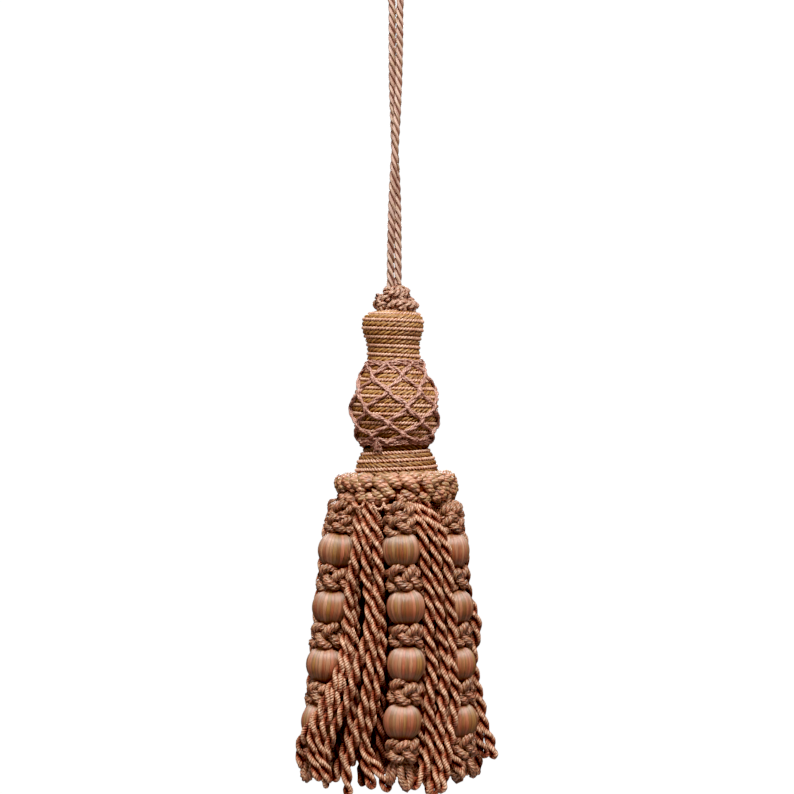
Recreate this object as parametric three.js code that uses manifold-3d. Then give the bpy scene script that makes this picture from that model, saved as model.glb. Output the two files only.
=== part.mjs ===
// Key tassel: a cord loop, a cord-wound wooden head in a knotted net, and a skirt of beaded hangers and bullion fringe.
// Millimetres, +Z up. The origin is the inside crown of the hanging loop, where a hook bears, and -Y is the front.
import * as THREE from "three";
import { mergeVertices } from "three/addons/utils/BufferGeometryUtils.js";
import Module from "manifold-3d";

const wasm = await Module();
wasm.setup();

// Driving dimensions
const CORD_DIAMETER = 2.1; // hanging cord
const CORD_LAY = 9.0; // length of one full turn of its plies
const HEAD_TOP_Z = -112.2;
const HEAD_TOP_X = -0.75;
const HEAD_LEAN = THREE.MathUtils.degToRad(1.45); // the foot hangs a little to the right
const WINDING_TURNS = 21; // turns of cord wound over the wooden mould
const WINDING_GROOVE = 0.45; // depth of the groove between two turns
const BAND_RADIUS = 14.0; // crocheted band: ring radius and half sizes of its section
const BAND_HALF_WIDTH = 4.7;
const BAND_HALF_HEIGHT = 5.3;
const BAND_Z = -165.2;
const BEAD_RADIUS = 5.7;
const BEAD_HALF_HEIGHT = 5.4;
const BEADS_PER_HANGER = 4;
const BORE_RADIUS = 1.6;
const HANGER_CORE_RADIUS = 1.1;
const KNOT_RADIUS = 4.5;
const HANGER_END_Z = -251.0;
const STRAND_RADIUS = 1.5; // bullion: half the width of two plies side by side
const STRAND_LENGTH = 80.0;
const GAP = 0.3; // clearance between neighbouring pieces

// Colours
const COPPER = "#9a6148";
const GOLD = "#a8794c";
const MAUVE = "#ab8280";
const ROSE = "#b08672";
const SILK = "#a97c60";

function cloth(colour, roughness) {
  return new THREE.MeshStandardMaterial({ color: colour, roughness, metalness: 0 });
}

function named(name, geometry, material) {
  const mesh = new THREE.Mesh(geometry, material);
  mesh.name = name;
  return mesh;
}

// Small even scatter from -1 to 1 for a numbered piece, the same on every run.
function scatter(index, salt) {
  const wave = Math.sin(index * 12.9898 + salt * 78.233) * 43758.5453;
  return 2 * (wave - Math.floor(wave)) - 1;
}

function solidOf(geometry) {
  const bare = geometry.clone();
  bare.deleteAttribute("normal");
  bare.deleteAttribute("uv");
  const merged = mergeVertices(bare, 1e-4);
  return new wasm.Manifold(
    new wasm.Mesh({
      numProp: 3,
      vertProperties: merged.getAttribute("position").array,
      triVerts: new Uint32Array(merged.index.array),
    }),
  );
}

function geometryOf(solid) {
  const mesh = solid.getMesh();
  const geometry = new THREE.BufferGeometry();
  geometry.setAttribute("position", new THREE.BufferAttribute(mesh.vertProperties, 3));
  geometry.setIndex(new THREE.BufferAttribute(mesh.triVerts, 1));
  return geometry;
}

function joined(geometries) {
  return geometryOf(wasm.Manifold.union(geometries.map(solidOf)).simplify(0.02));
}

// A closed tube through the points. firstNormal starts the frame that is carried along, radiusAt(k, angle) sizes ring k,
// and twistAt(k) turns it. A cylinder's own points are moved onto the rings.
function tubeThrough(points, firstNormal, sides, radiusAt, twistAt = () => 0) {
  const last = points.length - 1;
  const normals = [];
  const binormals = [];
  const normal = firstNormal.clone();
  points.forEach((_, k) => {
    const tangent = points[Math.min(k + 1, last)].clone().sub(points[Math.max(k - 1, 0)]).normalize();
    normal.addScaledVector(tangent, -normal.dot(tangent)).normalize();
    normals.push(normal.clone());
    binormals.push(tangent.clone().cross(normal));
  });
  const tube = new THREE.CylinderGeometry(1, 1, 1, sides, last);
  const position = tube.getAttribute("position");
  const moved = new THREE.Vector3();
  for (let i = 0; i < position.count; i += 1) {
    const k = Math.round((0.5 - position.getY(i)) * last);
    const reach = Math.hypot(position.getX(i), position.getZ(i));
    const angle = Math.atan2(position.getZ(i), position.getX(i));
    const radius = reach * radiusAt(k, angle);
    const turned = angle + twistAt(k);
    moved.copy(points[k]);
    moved.addScaledVector(normals[k], radius * Math.cos(turned));
    moved.addScaledVector(binormals[k], radius * Math.sin(turned));
    position.setXYZ(i, moved.x, moved.y, moved.z);
  }
  return tube;
}

// A point at a height, seen from the axis: azimuth 0 is the front, and a quarter turn is the right side.
function around(radius, azimuth, z) {
  return new THREE.Vector3(radius * Math.sin(azimuth), -radius * Math.cos(azimuth), z);
}

// Value at z of a table whose rows run downwards, with a smooth curve through them
function tableAt(rows, z, column) {
  const lower = rows.findIndex((row) => row.z <= z);
  if (lower === 0) return rows[0][column];
  if (lower < 0) return rows[rows.length - 1][column];
  const above = rows[lower - 1];
  const below = rows[lower];
  return THREE.MathUtils.mapLinear(z, above.z, below.z, above[column], below[column]);
}

// Hanging cord: up from the head, a half turn about its own return run, round an open eye and down again.
const CORD_ROUTE = [
  [-1.5, 0.0, -111.7],
  [-1.5, 0.0, -107.0],
  [-1.5, 0.0, -102.0],
  [-1.3, -0.5, -92.0],
  [-1.0, -0.85, -82.0],
  [-0.55, -1.05, -72.0],
  [0.05, -1.12, -63.0],
  [0.6, -1.0, -54.0],
  [1.15, -0.75, -44.0],
  [1.55, -0.4, -34.0],
  [1.75, -0.1, -26.0],
  [1.85, 0.0, -20.0],
  [2.45, 0.0, -14.5],
  [3.8, 0.0, -9.5],
  [4.9, 0.0, -5.0],
  [4.4, 0.0, -1.6],
  [2.6, 0.0, 0.4],
  [0.0, 0.0, 1.05],
  [-2.6, 0.0, 0.4],
  [-4.4, 0.0, -1.6],
  [-4.9, 0.0, -5.0],
  [-3.6, 0.0, -9.5],
  [-1.9, 0.0, -14.5],
  [-1.05, 0.0, -20.0],
  [-0.95, 0.1, -26.0],
  [-0.95, 0.4, -34.0],
  [-0.75, 0.75, -44.0],
  [-0.4, 1.0, -54.0],
  [-0.05, 1.12, -63.0],
  [0.45, 1.05, -72.0],
  [0.8, 0.85, -82.0],
  [0.9, 0.5, -92.0],
  [0.9, 0.0, -102.0],
  [0.9, 0.0, -107.0],
  [0.9, 0.0, -111.7],
];
const CORD_PLIES = 3;
const CORD_STEPS = 130;

function hangingCord() {
  const route = new THREE.CatmullRomCurve3(CORD_ROUTE.map((p) => new THREE.Vector3(...p)), false, "centripetal");
  const turn = ((route.getLength() / CORD_STEPS) * 2 * Math.PI) / CORD_LAY;
  const plyDepth = 0.13;
  const size = (CORD_DIAMETER / 2) * (1 - plyDepth);
  return tubeThrough(
    route.getSpacedPoints(CORD_STEPS),
    new THREE.Vector3(1, 0, 0),
    2 * CORD_PLIES,
    (k, angle) => size * (1 + plyDepth * Math.cos(CORD_PLIES * angle)),
    (k) => turn * k,
  );
}

// Outline of the wound head, down from its top: radius over the cord at each depth.
const HEAD_OUTLINE = [
  { z: 0, radius: 6.4 },
  { z: -1.1, radius: 8.4 },
  { z: -3.0, radius: 9.1 },
  { z: -5.6, radius: 9.0 },
  { z: -7.6, radius: 8.4 },
  { z: -9.6, radius: 7.9 },
  { z: -12.6, radius: 7.8 },
  { z: -15.0, radius: 8.2 },
  { z: -17.6, radius: 9.6 },
  { z: -21.0, radius: 11.3 },
  { z: -25.0, radius: 12.5 },
  { z: -28.6, radius: 12.8 },
  { z: -32.6, radius: 12.5 },
  { z: -36.2, radius: 11.6 },
  { z: -39.0, radius: 10.4 },
  { z: -41.0, radius: 9.8 },
  { z: -43.0, radius: 10.9 },
  { z: -45.4, radius: 11.9 },
  { z: -47.6, radius: 12.3 },
];
const HEAD_SIDES = 24;

function headCurve() {
  return new THREE.SplineCurve(HEAD_OUTLINE.map((row) => new THREE.Vector2(row.radius, row.z)));
}

// The wound form: one ridge for each turn of cord, raised in the lathe's outline.
function woundHead() {
  const ridges = headCurve().getSpacedPoints(2 * WINDING_TURNS);
  ridges.forEach((point, i) => {
    if (i % 2 === 0) point.x -= WINDING_GROOVE;
  });
  const top = new THREE.Vector2(0, HEAD_OUTLINE[0].z);
  const bottom = new THREE.Vector2(0, HEAD_OUTLINE[HEAD_OUTLINE.length - 1].z);
  const outline = [bottom, ...ridges.reverse(), top];
  return new THREE.LatheGeometry(outline, HEAD_SIDES).rotateX(Math.PI / 2);
}

// Knotted net over the ball: rows of knots, each row half a mesh round from the one above, in one closed sheet.
const NET_MESHES = 7;
const NET_KNOT = 1.05; // half the width of a knot
const NET_THICKNESS = 0.9;
const NET_KNOT_RISE = 0.5;
const NET_STANDOFF = GAP + 0.25;
const NET_FIRST_AZIMUTH = THREE.MathUtils.degToRad(-12);
const NET_ROW_DEPTHS = [-15.6, -19.0, -23.8, -28.6, -33.4, -37.6, -40.6];
const NET_LAST_ROW = NET_ROW_DEPTHS.length - 1;
const KNOT_CORNERS = { right: [1, 0], top: [0, 1], left: [-1, 0], bottom: [0, -1], middle: [0, 0] };

// A place just over the wound cord, lifted by rise.
function overBall(azimuth, z, rise) {
  return around(tableAt(HEAD_OUTLINE, z, "radius") + NET_STANDOFF + rise, azimuth, z);
}

// Numbers the corner of one knot, making it the first time it is asked for.
function netCorner(net, row, place, side) {
  const wrapped = (place + NET_MESHES) % NET_MESHES;
  const key = `${row} ${wrapped} ${side}`;
  if (!net.numbers.has(key)) {
    const uneven = row === 0 || row === NET_LAST_ROW ? 0 : 1;
    const knot = row * NET_MESHES + wrapped;
    const mesh = (2 * Math.PI) / NET_MESHES;
    const z = NET_ROW_DEPTHS[row] + uneven * 0.6 * scatter(knot, 2);
    const azimuth = NET_FIRST_AZIMUTH + mesh * (wrapped + (row % 2) / 2) + uneven * 0.07 * scatter(knot, 1);
    const [across, up] = KNOT_CORNERS[side];
    const radius = tableAt(HEAD_OUTLINE, z, "radius");
    const rise = side === "middle" ? NET_KNOT_RISE : 0;
    net.numbers.set(key, net.corners.length);
    net.corners.push({ azimuth: azimuth + (across * NET_KNOT) / radius, z: z + up * NET_KNOT, rise });
  }
  return net.numbers.get(key);
}

// Numbers the corner halfway along a thread's edge, so that the thread bends over the ball.
function netMiddle(net, first, second) {
  const key = `${Math.min(first, second)} to ${Math.max(first, second)}`;
  if (!net.numbers.has(key)) {
    const a = net.corners[first];
    const b = net.corners[second];
    const turn = THREE.MathUtils.euclideanModulo(b.azimuth - a.azimuth + Math.PI, 2 * Math.PI) - Math.PI;
    net.numbers.set(key, net.corners.length);
    net.corners.push({ azimuth: a.azimuth + turn / 2, z: (a.z + b.z) / 2, rise: 0 });
  }
  return net.numbers.get(key);
}

// One thread between four corners, given anticlockwise with its two long edges first and third.
function netThread(net, a, b, c, d) {
  const low = netMiddle(net, a, b);
  const high = netMiddle(net, c, d);
  net.patches.push([a, low, high, d], [low, b, c, high]);
}

function netPatches() {
  const net = { corners: [], numbers: new Map(), patches: [] };
  for (let row = 0; row <= NET_LAST_ROW; row += 1) {
    for (let place = 0; place < NET_MESHES; place += 1) {
      const [right, top, left, bottom, middle] = Object.keys(KNOT_CORNERS).map((side) => netCorner(net, row, place, side));
      net.patches.push([middle, right, top], [middle, top, left], [middle, left, bottom], [middle, bottom, right]);
      const next = netCorner(net, row, place + 1, "left");
      if (row === 0) netThread(net, right, next, netCorner(net, row, place + 1, "top"), top);
      if (row === NET_LAST_ROW) {
        netThread(net, bottom, netCorner(net, row, place + 1, "bottom"), next, right);
      } else {
        const below = row % 2 === 0 ? place - 1 : place;
        netThread(net, left, netCorner(net, row + 1, below, "top"), netCorner(net, row + 1, below, "right"), bottom);
        netThread(net, bottom, netCorner(net, row + 1, below + 1, "left"), netCorner(net, row + 1, below + 1, "top"), right);
      }
    }
  }
  return net;
}

// Closes the net: an outer and an inner sheet, and a wall between them along each edge that only one patch has.
function ballNet() {
  const net = netPatches();
  const count = net.corners.length;
  const outer = net.corners.map((c) => overBall(c.azimuth, c.z, NET_THICKNESS + c.rise));
  const inner = net.corners.map((c) => overBall(c.azimuth, c.z, 0));
  const triangles = [];
  const edges = new Set();
  net.patches.forEach((patch) => {
    for (let i = 2; i < patch.length; i += 1) {
      triangles.push(patch[0], patch[i - 1], patch[i]);
      triangles.push(count + patch[0], count + patch[i], count + patch[i - 1]);
    }
    patch.forEach((from, i) => edges.add(`${from} ${patch[(i + 1) % patch.length]}`));
  });
  edges.forEach((edge) => {
    const [from, to] = edge.split(" ").map(Number);
    if (edges.has(`${to} ${from}`)) return;
    triangles.push(to, from, count + from, to, count + from, count + to);
  });
  const geometry = new THREE.BufferGeometry().setFromPoints([...outer, ...inner]);
  geometry.setIndex(triangles);
  return geometry;
}

// Crocheted ruff that hides the cord's seat: a hollow cone of loops.
const RUFF_OUTLINE = [
  { radius: 3.2, z: GAP },
  { radius: 5.9, z: GAP },
  { radius: 6.1, z: 2.2 },
  { radius: 5.3, z: 4.6 },
  { radius: 4.1, z: 7.6 },
  { radius: 3.2, z: 7.8 },
];
const RUFF_SIDES = 20;
const RUFF_OFFSET_X = 0.9;

function topRuff() {
  const outline = RUFF_OUTLINE.map((row) => new THREE.Vector2(row.radius, row.z));
  const ruff = new THREE.LatheGeometry([...outline, outline[0].clone()], RUFF_SIDES).rotateX(Math.PI / 2);
  const position = ruff.getAttribute("position");
  const loops = 5;
  const inner = RUFF_OUTLINE[0].radius;
  for (let i = 0; i < position.count; i += 1) {
    const radius = Math.hypot(position.getX(i), position.getY(i));
    const azimuth = Math.atan2(position.getY(i), position.getX(i));
    const outer = radius - inner > 0.1;
    const swell = outer ? 1 + 0.09 * Math.sin(loops * azimuth + 1.3 * position.getZ(i)) : 1;
    position.setX(i, position.getX(i) * swell);
    position.setY(i, position.getY(i) * swell);
  }
  return ruff.translate(RUFF_OFFSET_X, 0, 0);
}

// Crocheted band at the top of the skirt: a fat ring with slanting stitches raised on it.
const BAND_STITCHES = 18;
const STITCH_RISE = 0.17;

function skirtBand() {
  const ring = new THREE.TorusGeometry(BAND_RADIUS, 1, 10, 2 * BAND_STITCHES);
  const position = ring.getAttribute("position");
  for (let i = 0; i < position.count; i += 1) {
    const azimuth = Math.atan2(position.getY(i), position.getX(i));
    const out = Math.hypot(position.getX(i), position.getY(i)) - BAND_RADIUS;
    const up = position.getZ(i);
    const section = Math.atan2(up, out);
    const stitch = 1 + STITCH_RISE * Math.cos(BAND_STITCHES * azimuth + 2 * section) * (out > 0 ? 1 : 0);
    const radius = BAND_RADIUS + out * BAND_HALF_WIDTH * stitch;
    const flattened = Math.sign(up) * Math.abs(up) ** 0.8;
    position.setXYZ(i, radius * Math.cos(azimuth), radius * Math.sin(azimuth), flattened * BAND_HALF_HEIGHT);
  }
  return ring;
}

// Hangers, one row each from the front round to the left: where they hang, how far they flare and how they sway.
// firstBead is the height of the top bead and pitch is the distance from one bead to the next.
const HANGERS = [
  { azimuth: 5, topRadius: 17.6, flare: 5.2, sway: 5, firstBead: -182.7, pitch: 16.7 },
  { azimuth: 63.5, topRadius: 17.6, flare: 4.2, sway: 2.5, firstBead: -183.3, pitch: 16.85 },
  { azimuth: 124, topRadius: 17.6, flare: 6.0, sway: -2, firstBead: -183.1, pitch: 16.8 },
  { azimuth: 184, topRadius: 17.6, flare: 5.6, sway: 2, firstBead: -183.5, pitch: 16.9 },
  { azimuth: 243, topRadius: 17.6, flare: 6.2, sway: -1, firstBead: -183.2, pitch: 16.75 },
  { azimuth: 298, topRadius: 17.6, flare: 9.4, sway: 0, firstBead: -183.3, pitch: 16.85 },
];
const HANGER_TOP_Z = BAND_Z - BAND_HALF_HEIGHT - GAP;
const HANGER_DROP = HANGER_TOP_Z - HANGER_END_Z;
const KNOT_SIDES = 6;
const KNOT_RIDGE = 0.15;

function hangerAzimuth(hanger, z) {
  const beaded = hanger.pitch * (BEADS_PER_HANGER - 1);
  const below = THREE.MathUtils.clamp((hanger.firstBead - z) / beaded, 0, 1);
  return THREE.MathUtils.degToRad(hanger.azimuth + hanger.sway * Math.sin(Math.PI * below));
}

function hangerPoint(hanger, z) {
  const drop = Math.max(0, (HANGER_TOP_Z - z) / HANGER_DROP);
  return around(hanger.topRadius + hanger.flare * drop ** 0.9, hangerAzimuth(hanger, z), z);
}

// The band leans with the head, so each hanger starts where the band's underside is above it.
function hangerTop(hanger) {
  return HANGER_TOP_Z + hangerPoint(hanger, HANGER_TOP_Z).x * Math.tan(HEAD_LEAN);
}

function beadZ(hanger, number) {
  return hanger.firstBead - hanger.pitch * number;
}

// Heights and sizes of one hanger's rings: a ridged knot above, between and below the beads, thin through each bore.
function hangerRings(hanger) {
  const rings = [];
  const shares = [0, 0.3, 0.7, 1];
  for (let knot = 0; knot <= BEADS_PER_HANGER; knot += 1) {
    const end = BEAD_HALF_HEIGHT + GAP + 0.1;
    const top = knot === 0 ? hangerTop(hanger) : beadZ(hanger, knot - 1) - end;
    const bottom = knot === BEADS_PER_HANGER ? HANGER_END_Z : beadZ(hanger, knot) + end;
    if (knot > 0) rings.push({ z: top + 0.01, radius: HANGER_CORE_RADIUS, ridge: 0 });
    shares.forEach((share, i) => {
      const swell = i === 0 || i === shares.length - 1 ? 0.88 : 1;
      const last = knot === BEADS_PER_HANGER && i === shares.length - 1;
      rings.push({
        z: top + (bottom - top) * share,
        radius: KNOT_RADIUS * (last ? 0.45 : swell),
        ridge: i % 2 === 0 ? KNOT_RIDGE : -KNOT_RIDGE,
      });
    });
    if (knot < BEADS_PER_HANGER) rings.push({ z: bottom - 0.01, radius: HANGER_CORE_RADIUS, ridge: 0 });
  }
  return rings;
}

function hangerCord(hanger) {
  const rings = hangerRings(hanger);
  const points = rings.map((ring) => hangerPoint(hanger, ring.z));
  return tubeThrough(
    points,
    around(1, hangerAzimuth(hanger, HANGER_TOP_Z), 0),
    KNOT_SIDES,
    (k, angle) => rings[k].radius * (1 + rings[k].ridge * Math.cos((KNOT_SIDES / 2) * angle)),
  );
}

const BEAD_SIDES = 10;
const BEAD_LATITUDES = [-70, -36, 0, 36, 70];

function beadShape() {
  const outline = BEAD_LATITUDES.map((degrees) => {
    const latitude = THREE.MathUtils.degToRad(degrees);
    const pole = Math.sin(THREE.MathUtils.degToRad(BEAD_LATITUDES[BEAD_LATITUDES.length - 1]));
    return new THREE.Vector2(BEAD_RADIUS * Math.cos(latitude), (BEAD_HALF_HEIGHT * Math.sin(latitude)) / pole);
  });
  const boreTop = new THREE.Vector2(BORE_RADIUS, BEAD_HALF_HEIGHT);
  const boreBottom = new THREE.Vector2(BORE_RADIUS, -BEAD_HALF_HEIGHT);
  return new THREE.LatheGeometry([boreBottom, ...outline, boreTop, boreBottom.clone()], BEAD_SIDES).rotateX(Math.PI / 2);
}

function beadOn(hanger, number, name) {
  const z = beadZ(hanger, number);
  const bead = named(name, beadShape(), cloth(SILK, 0.5));
  const above = hangerPoint(hanger, z + BEAD_HALF_HEIGHT);
  const below = hangerPoint(hanger, z - BEAD_HALF_HEIGHT);
  bead.position.copy(above.clone().add(below).multiplyScalar(0.5));
  bead.quaternion.setFromUnitVectors(new THREE.Vector3(0, 0, 1), above.sub(below).normalize());
  return bead;
}

// Bullion fringe: strands of two plies in the gaps between hangers, sewn to one ring under the band.
// root, upper and lower place a strand across its gap on the ring, beside the first bead and at the hem.
// seat is its root's distance from the axis; rise and tip are how far it lies outside the hangers' circle below that.
const STRANDS = [
  { root: 0.34, seat: 12.2, upper: 0.41, lower: 0.35, rise: 0.2, tip: 0.8, length: 1.0 },
  { root: 0.5, seat: 12.4, upper: 0.5, lower: 0.5, rise: 2.9, tip: 2.0, length: 1.02 },
  { root: 0.66, seat: 12.2, upper: 0.59, lower: 0.65, rise: 0.2, tip: 0.8, length: 0.98 },
  { root: 0.38, seat: 9.6, upper: 0.45, lower: 0.42, rise: -3.0, tip: -3.0, length: 0.97 },
  { root: 0.64, seat: 9.6, upper: 0.56, lower: 0.58, rise: -6.0, tip: -3.2, length: 0.99 },
];
// Strands that stray from their gap near the hem: swing is how far across, out how much farther from the axis.
const STRAYS = [
  { gap: 5, strand: 0, swing: -0.42, out: 7.8 },
  { gap: 5, strand: 2, swing: -0.06, out: 0.6 },
  { gap: 0, strand: 0, swing: 0.05, out: 0.8 },
  { gap: 1, strand: 1, swing: 0.04, out: 4.6 },
];
const FRINGE_RING_RADIUS = 11.0;
const FRINGE_RING_HALF_WIDTH = 2.4;
const FRINGE_RING_HALF_HEIGHT = 1.3;
const FRINGE_RING_Z = -172.05;
const STRAND_STEPS = 16;
const STRAND_TURN = THREE.MathUtils.degToRad(-80); // turn of the two plies at each step
const PLY_DEPTH = 0.17;

function strandPoint(gap, strand, drop) {
  const { lerp, smoothstep } = THREE.MathUtils;
  const left = HANGERS[gap];
  const right = HANGERS[(gap + 1) % HANGERS.length];
  const z = FRINGE_RING_Z - drop * STRAND_LENGTH * strand.length;
  const from = hangerAzimuth(left, z);
  const span = THREE.MathUtils.euclideanModulo(hangerAzimuth(right, z) - from, 2 * Math.PI);
  const swing = strand.swing * smoothstep(drop, 0.6, 0.95);
  const hung = lerp(strand.upper, strand.lower, smoothstep(drop, 0.15, 0.6));
  const share = lerp(strand.root, hung, smoothstep(drop, 0, 0.09)) + swing;
  const circle = lerp(hangerPoint(left, z).setZ(0).length(), hangerPoint(right, z).setZ(0).length(), strand.lower);
  const outside = circle + lerp(strand.rise, strand.tip, drop) + strand.out * smoothstep(drop, 0.5, 0.8);
  return around(lerp(strand.seat, outside, smoothstep(drop, 0, 0.13)), from + span * share, z);
}

// A strand is drawn thin where it is sewn on and rounds off at its folded end.
const ROOT_TAPER = [0.42, 0.66];

function strandTaper(k) {
  if (k < ROOT_TAPER.length) return ROOT_TAPER[k];
  return k === STRAND_STEPS ? 0.6 : 1;
}

function bullionStrand(gap, strand, number) {
  const points = [];
  for (let k = 0; k <= STRAND_STEPS; k += 1) points.push(strandPoint(gap, strand, k / STRAND_STEPS));
  const outward = new THREE.Vector3(points[0].x, points[0].y, 0).normalize();
  const start = Math.PI * scatter(number, 3);
  return tubeThrough(
    points,
    outward,
    4,
    (k, angle) => strandTaper(k) * STRAND_RADIUS * (1 - PLY_DEPTH + PLY_DEPTH * Math.cos(2 * angle)),
    (k) => start + STRAND_TURN * k,
  );
}

// One strand of a gap, with its own small difference in length and lie.
function ownStrand(gap, place) {
  const number = gap * STRANDS.length + place;
  const stray = STRAYS.find((row) => row.gap === gap && row.strand === place) ?? { swing: 0, out: 0 };
  const strand = STRANDS[place];
  return {
    ...strand,
    length: strand.length + 0.03 * scatter(number, 4),
    tip: strand.tip + 0.4 * scatter(number, 5),
    swing: stray.swing + 0.03 * scatter(number, 6),
    out: stray.out,
  };
}

function bullionFringe() {
  const ring = new THREE.TorusGeometry(FRINGE_RING_RADIUS, FRINGE_RING_HALF_WIDTH, 6, 30);
  ring.scale(1, 1, FRINGE_RING_HALF_HEIGHT / FRINGE_RING_HALF_WIDTH).translate(0, 0, FRINGE_RING_Z);
  const strands = HANGERS.flatMap((_, gap) =>
    STRANDS.map((_row, place) => bullionStrand(gap, ownStrand(gap, place), gap * STRANDS.length + place)),
  );
  return joined([ring, ...strands]);
}

// Assembly
const tassel = new THREE.Group();

const head = new THREE.Group();
head.position.set(HEAD_TOP_X, 0, HEAD_TOP_Z);
head.rotation.y = -HEAD_LEAN;
head.add(named("head", woundHead(), cloth(GOLD, 0.6)));
head.add(named("ball_net", ballNet(), cloth(MAUVE, 0.65)));
head.add(named("top_ruff", topRuff(), cloth(ROSE, 0.6)));
const band = named("skirt_band", skirtBand(), cloth(ROSE, 0.6));
band.position.z = BAND_Z - HEAD_TOP_Z;
head.add(band);
tassel.add(head);

tassel.add(named("hanging_cord", hangingCord(), cloth(ROSE, 0.6)));
tassel.add(named("bullion_fringe", bullionFringe(), cloth(COPPER, 0.6)));
HANGERS.forEach((hanger, i) => {
  tassel.add(named(`hanger_${i + 1}`, hangerCord(hanger), cloth(COPPER, 0.65)));
  for (let number = 0; number < BEADS_PER_HANGER; number += 1) {
    tassel.add(beadOn(hanger, number, `bead_${i + 1}_${number + 1}`));
  }
});

export default tassel;
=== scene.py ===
# %% [markdown]
# # A key tassel, thread by thread
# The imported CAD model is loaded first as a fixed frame. It says where each piece hangs and how big it is.
# Every piece made below covers one of its nodes with the real cords, so the tassel keeps its place and
# size.

# %% Load the frame
import math
from collections import namedtuple

import bpy
import numpy as np
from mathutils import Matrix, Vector


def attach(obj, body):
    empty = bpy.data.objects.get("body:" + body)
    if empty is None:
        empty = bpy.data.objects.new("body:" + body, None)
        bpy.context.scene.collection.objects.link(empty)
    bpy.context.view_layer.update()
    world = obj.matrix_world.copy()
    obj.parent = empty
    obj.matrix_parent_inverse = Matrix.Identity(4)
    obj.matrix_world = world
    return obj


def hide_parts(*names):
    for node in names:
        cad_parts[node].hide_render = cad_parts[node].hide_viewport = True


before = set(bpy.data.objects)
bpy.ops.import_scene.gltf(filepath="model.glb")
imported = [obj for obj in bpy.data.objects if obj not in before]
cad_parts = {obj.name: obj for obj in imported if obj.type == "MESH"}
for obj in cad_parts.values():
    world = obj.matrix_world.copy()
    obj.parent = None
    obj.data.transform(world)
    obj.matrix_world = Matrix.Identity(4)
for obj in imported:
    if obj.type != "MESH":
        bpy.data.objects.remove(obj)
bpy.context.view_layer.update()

MM = 0.001

# %% [markdown]
# ## Camera
# The photo was taken straight from the front with a long lens: the beads stay round and the rings of the
# head look nearly flat. A camera could be moved by hand until the picture fits. Here it is worked out: one
# photo pixel is 0.3 mm at the tassel, so the lens follows from the distance and the picture's width, and a
# pixel can later be turned back into a place. `VIEW_X` and `VIEW_Z` are the place in the picture's middle.

# %% Camera
PHOTO_PIXELS = 794
PIXEL_MM = 0.3
SENSOR_MM = 36
CAMERA_DISTANCE = 0.95  # metres
VIEW_X = 0.6
VIEW_Z = -137.7

camera_data = bpy.data.cameras.new("photo_camera")
camera_data.sensor_width = SENSOR_MM
camera_data.lens = SENSOR_MM * CAMERA_DISTANCE / (PHOTO_PIXELS * PIXEL_MM * MM)
camera = bpy.data.objects.new("photo_camera", camera_data)
camera.location = (VIEW_X * MM, -CAMERA_DISTANCE, VIEW_Z * MM)
camera.rotation_euler = (math.pi / 2, 0, 0)
bpy.context.scene.collection.objects.link(camera)
bpy.context.scene.camera = camera
print("lens", round(camera_data.lens, 1), "mm")

# %% [markdown]
# ## Cords as meshes
# Nearly everything on a tassel is cord. Blender's curves can be given a round bevel, but then the section,
# the side that faces out and the measures for the thread pattern are hard to steer. So one helper draws a
# tube along a line of points, in millimetres. A line is given by a few points and made smooth. The tube
# needs a side direction at each point: it is either carried along the line without twisting, or taken from
# what the cord lies on.

# %% Lines
CURVE_STEPS = 24


def unit(vectors):
    return vectors / np.linalg.norm(vectors, axis=-1, keepdims=True)


def heading(points, closed=False):
    """Direction of a line at each of its points."""
    if closed:
        return unit(np.roll(points, -1, axis=0) - np.roll(points, 1, axis=0))
    return unit(np.gradient(points, axis=0))


def run_length(points):
    """Distance along a line, from its first point to each point."""
    return np.concatenate([[0.0], np.cumsum(np.linalg.norm(np.diff(points, axis=0), axis=1))])


def smooth_line(points, spacing):
    """A smooth line through the points, in even steps of about the spacing."""
    knots = np.concatenate([[0.0], np.cumsum(np.linalg.norm(np.diff(points, axis=0), axis=1) ** 0.5)])
    slopes = np.gradient(points, knots, axis=0)
    t = np.linspace(0, 1, CURVE_STEPS, endpoint=False)[:, None]
    fine = []
    for i in range(len(points) - 1):
        width = knots[i + 1] - knots[i]
        fine.append(
            (2 * t**3 - 3 * t**2 + 1) * points[i]
            + (t**3 - 2 * t**2 + t) * width * slopes[i]
            + (3 * t**2 - 2 * t**3) * points[i + 1]
            + (t**3 - t**2) * width * slopes[i + 1]
        )
    line = np.vstack(fine + [points[-1:]])
    length = run_length(line)
    even = np.linspace(0, length[-1], max(3, round(length[-1] / spacing) + 1))
    return np.stack([np.interp(even, length, line[:, axis]) for axis in range(3)], -1)


sample_line = smooth_line(np.array([(0.0, 0, 0), (1, 0, 0), (1, 1, 0)]), 0.1)
print("a bend through three points is", round(run_length(sample_line)[-1], 2), "mm long")


# %% Sides of a line
def carried_sides(points, first_side):
    """A side direction carried along the line without twisting, and the one square to it."""
    directions = heading(points)
    sides = np.empty_like(points)
    side = np.asarray(first_side, float)
    for i, direction in enumerate(directions):
        side = side - direction * np.dot(side, direction)
        side = side / np.linalg.norm(side)
        sides[i] = side
    return sides, np.cross(directions, sides)


def outward_sides(points, outward, closed=False):
    """The side that faces outward at each point, and the one square to it."""
    directions = heading(points, closed)
    sides = unit(outward - directions * np.sum(outward * directions, axis=1, keepdims=True))
    return sides, np.cross(directions, sides)


def turned(sides, angle):
    """Both side directions, turned about the line by an angle at each point."""
    first, second = sides
    cosine = np.cos(angle)[:, None]
    sine = np.sin(angle)[:, None]
    return first * cosine + second * sine, second * cosine - first * sine


sample_sides = carried_sides(sample_line, (0, 0, 1))
print("its first side starts as", sample_sides[0][0], "and ends as", sample_sides[0][-1])

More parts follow.
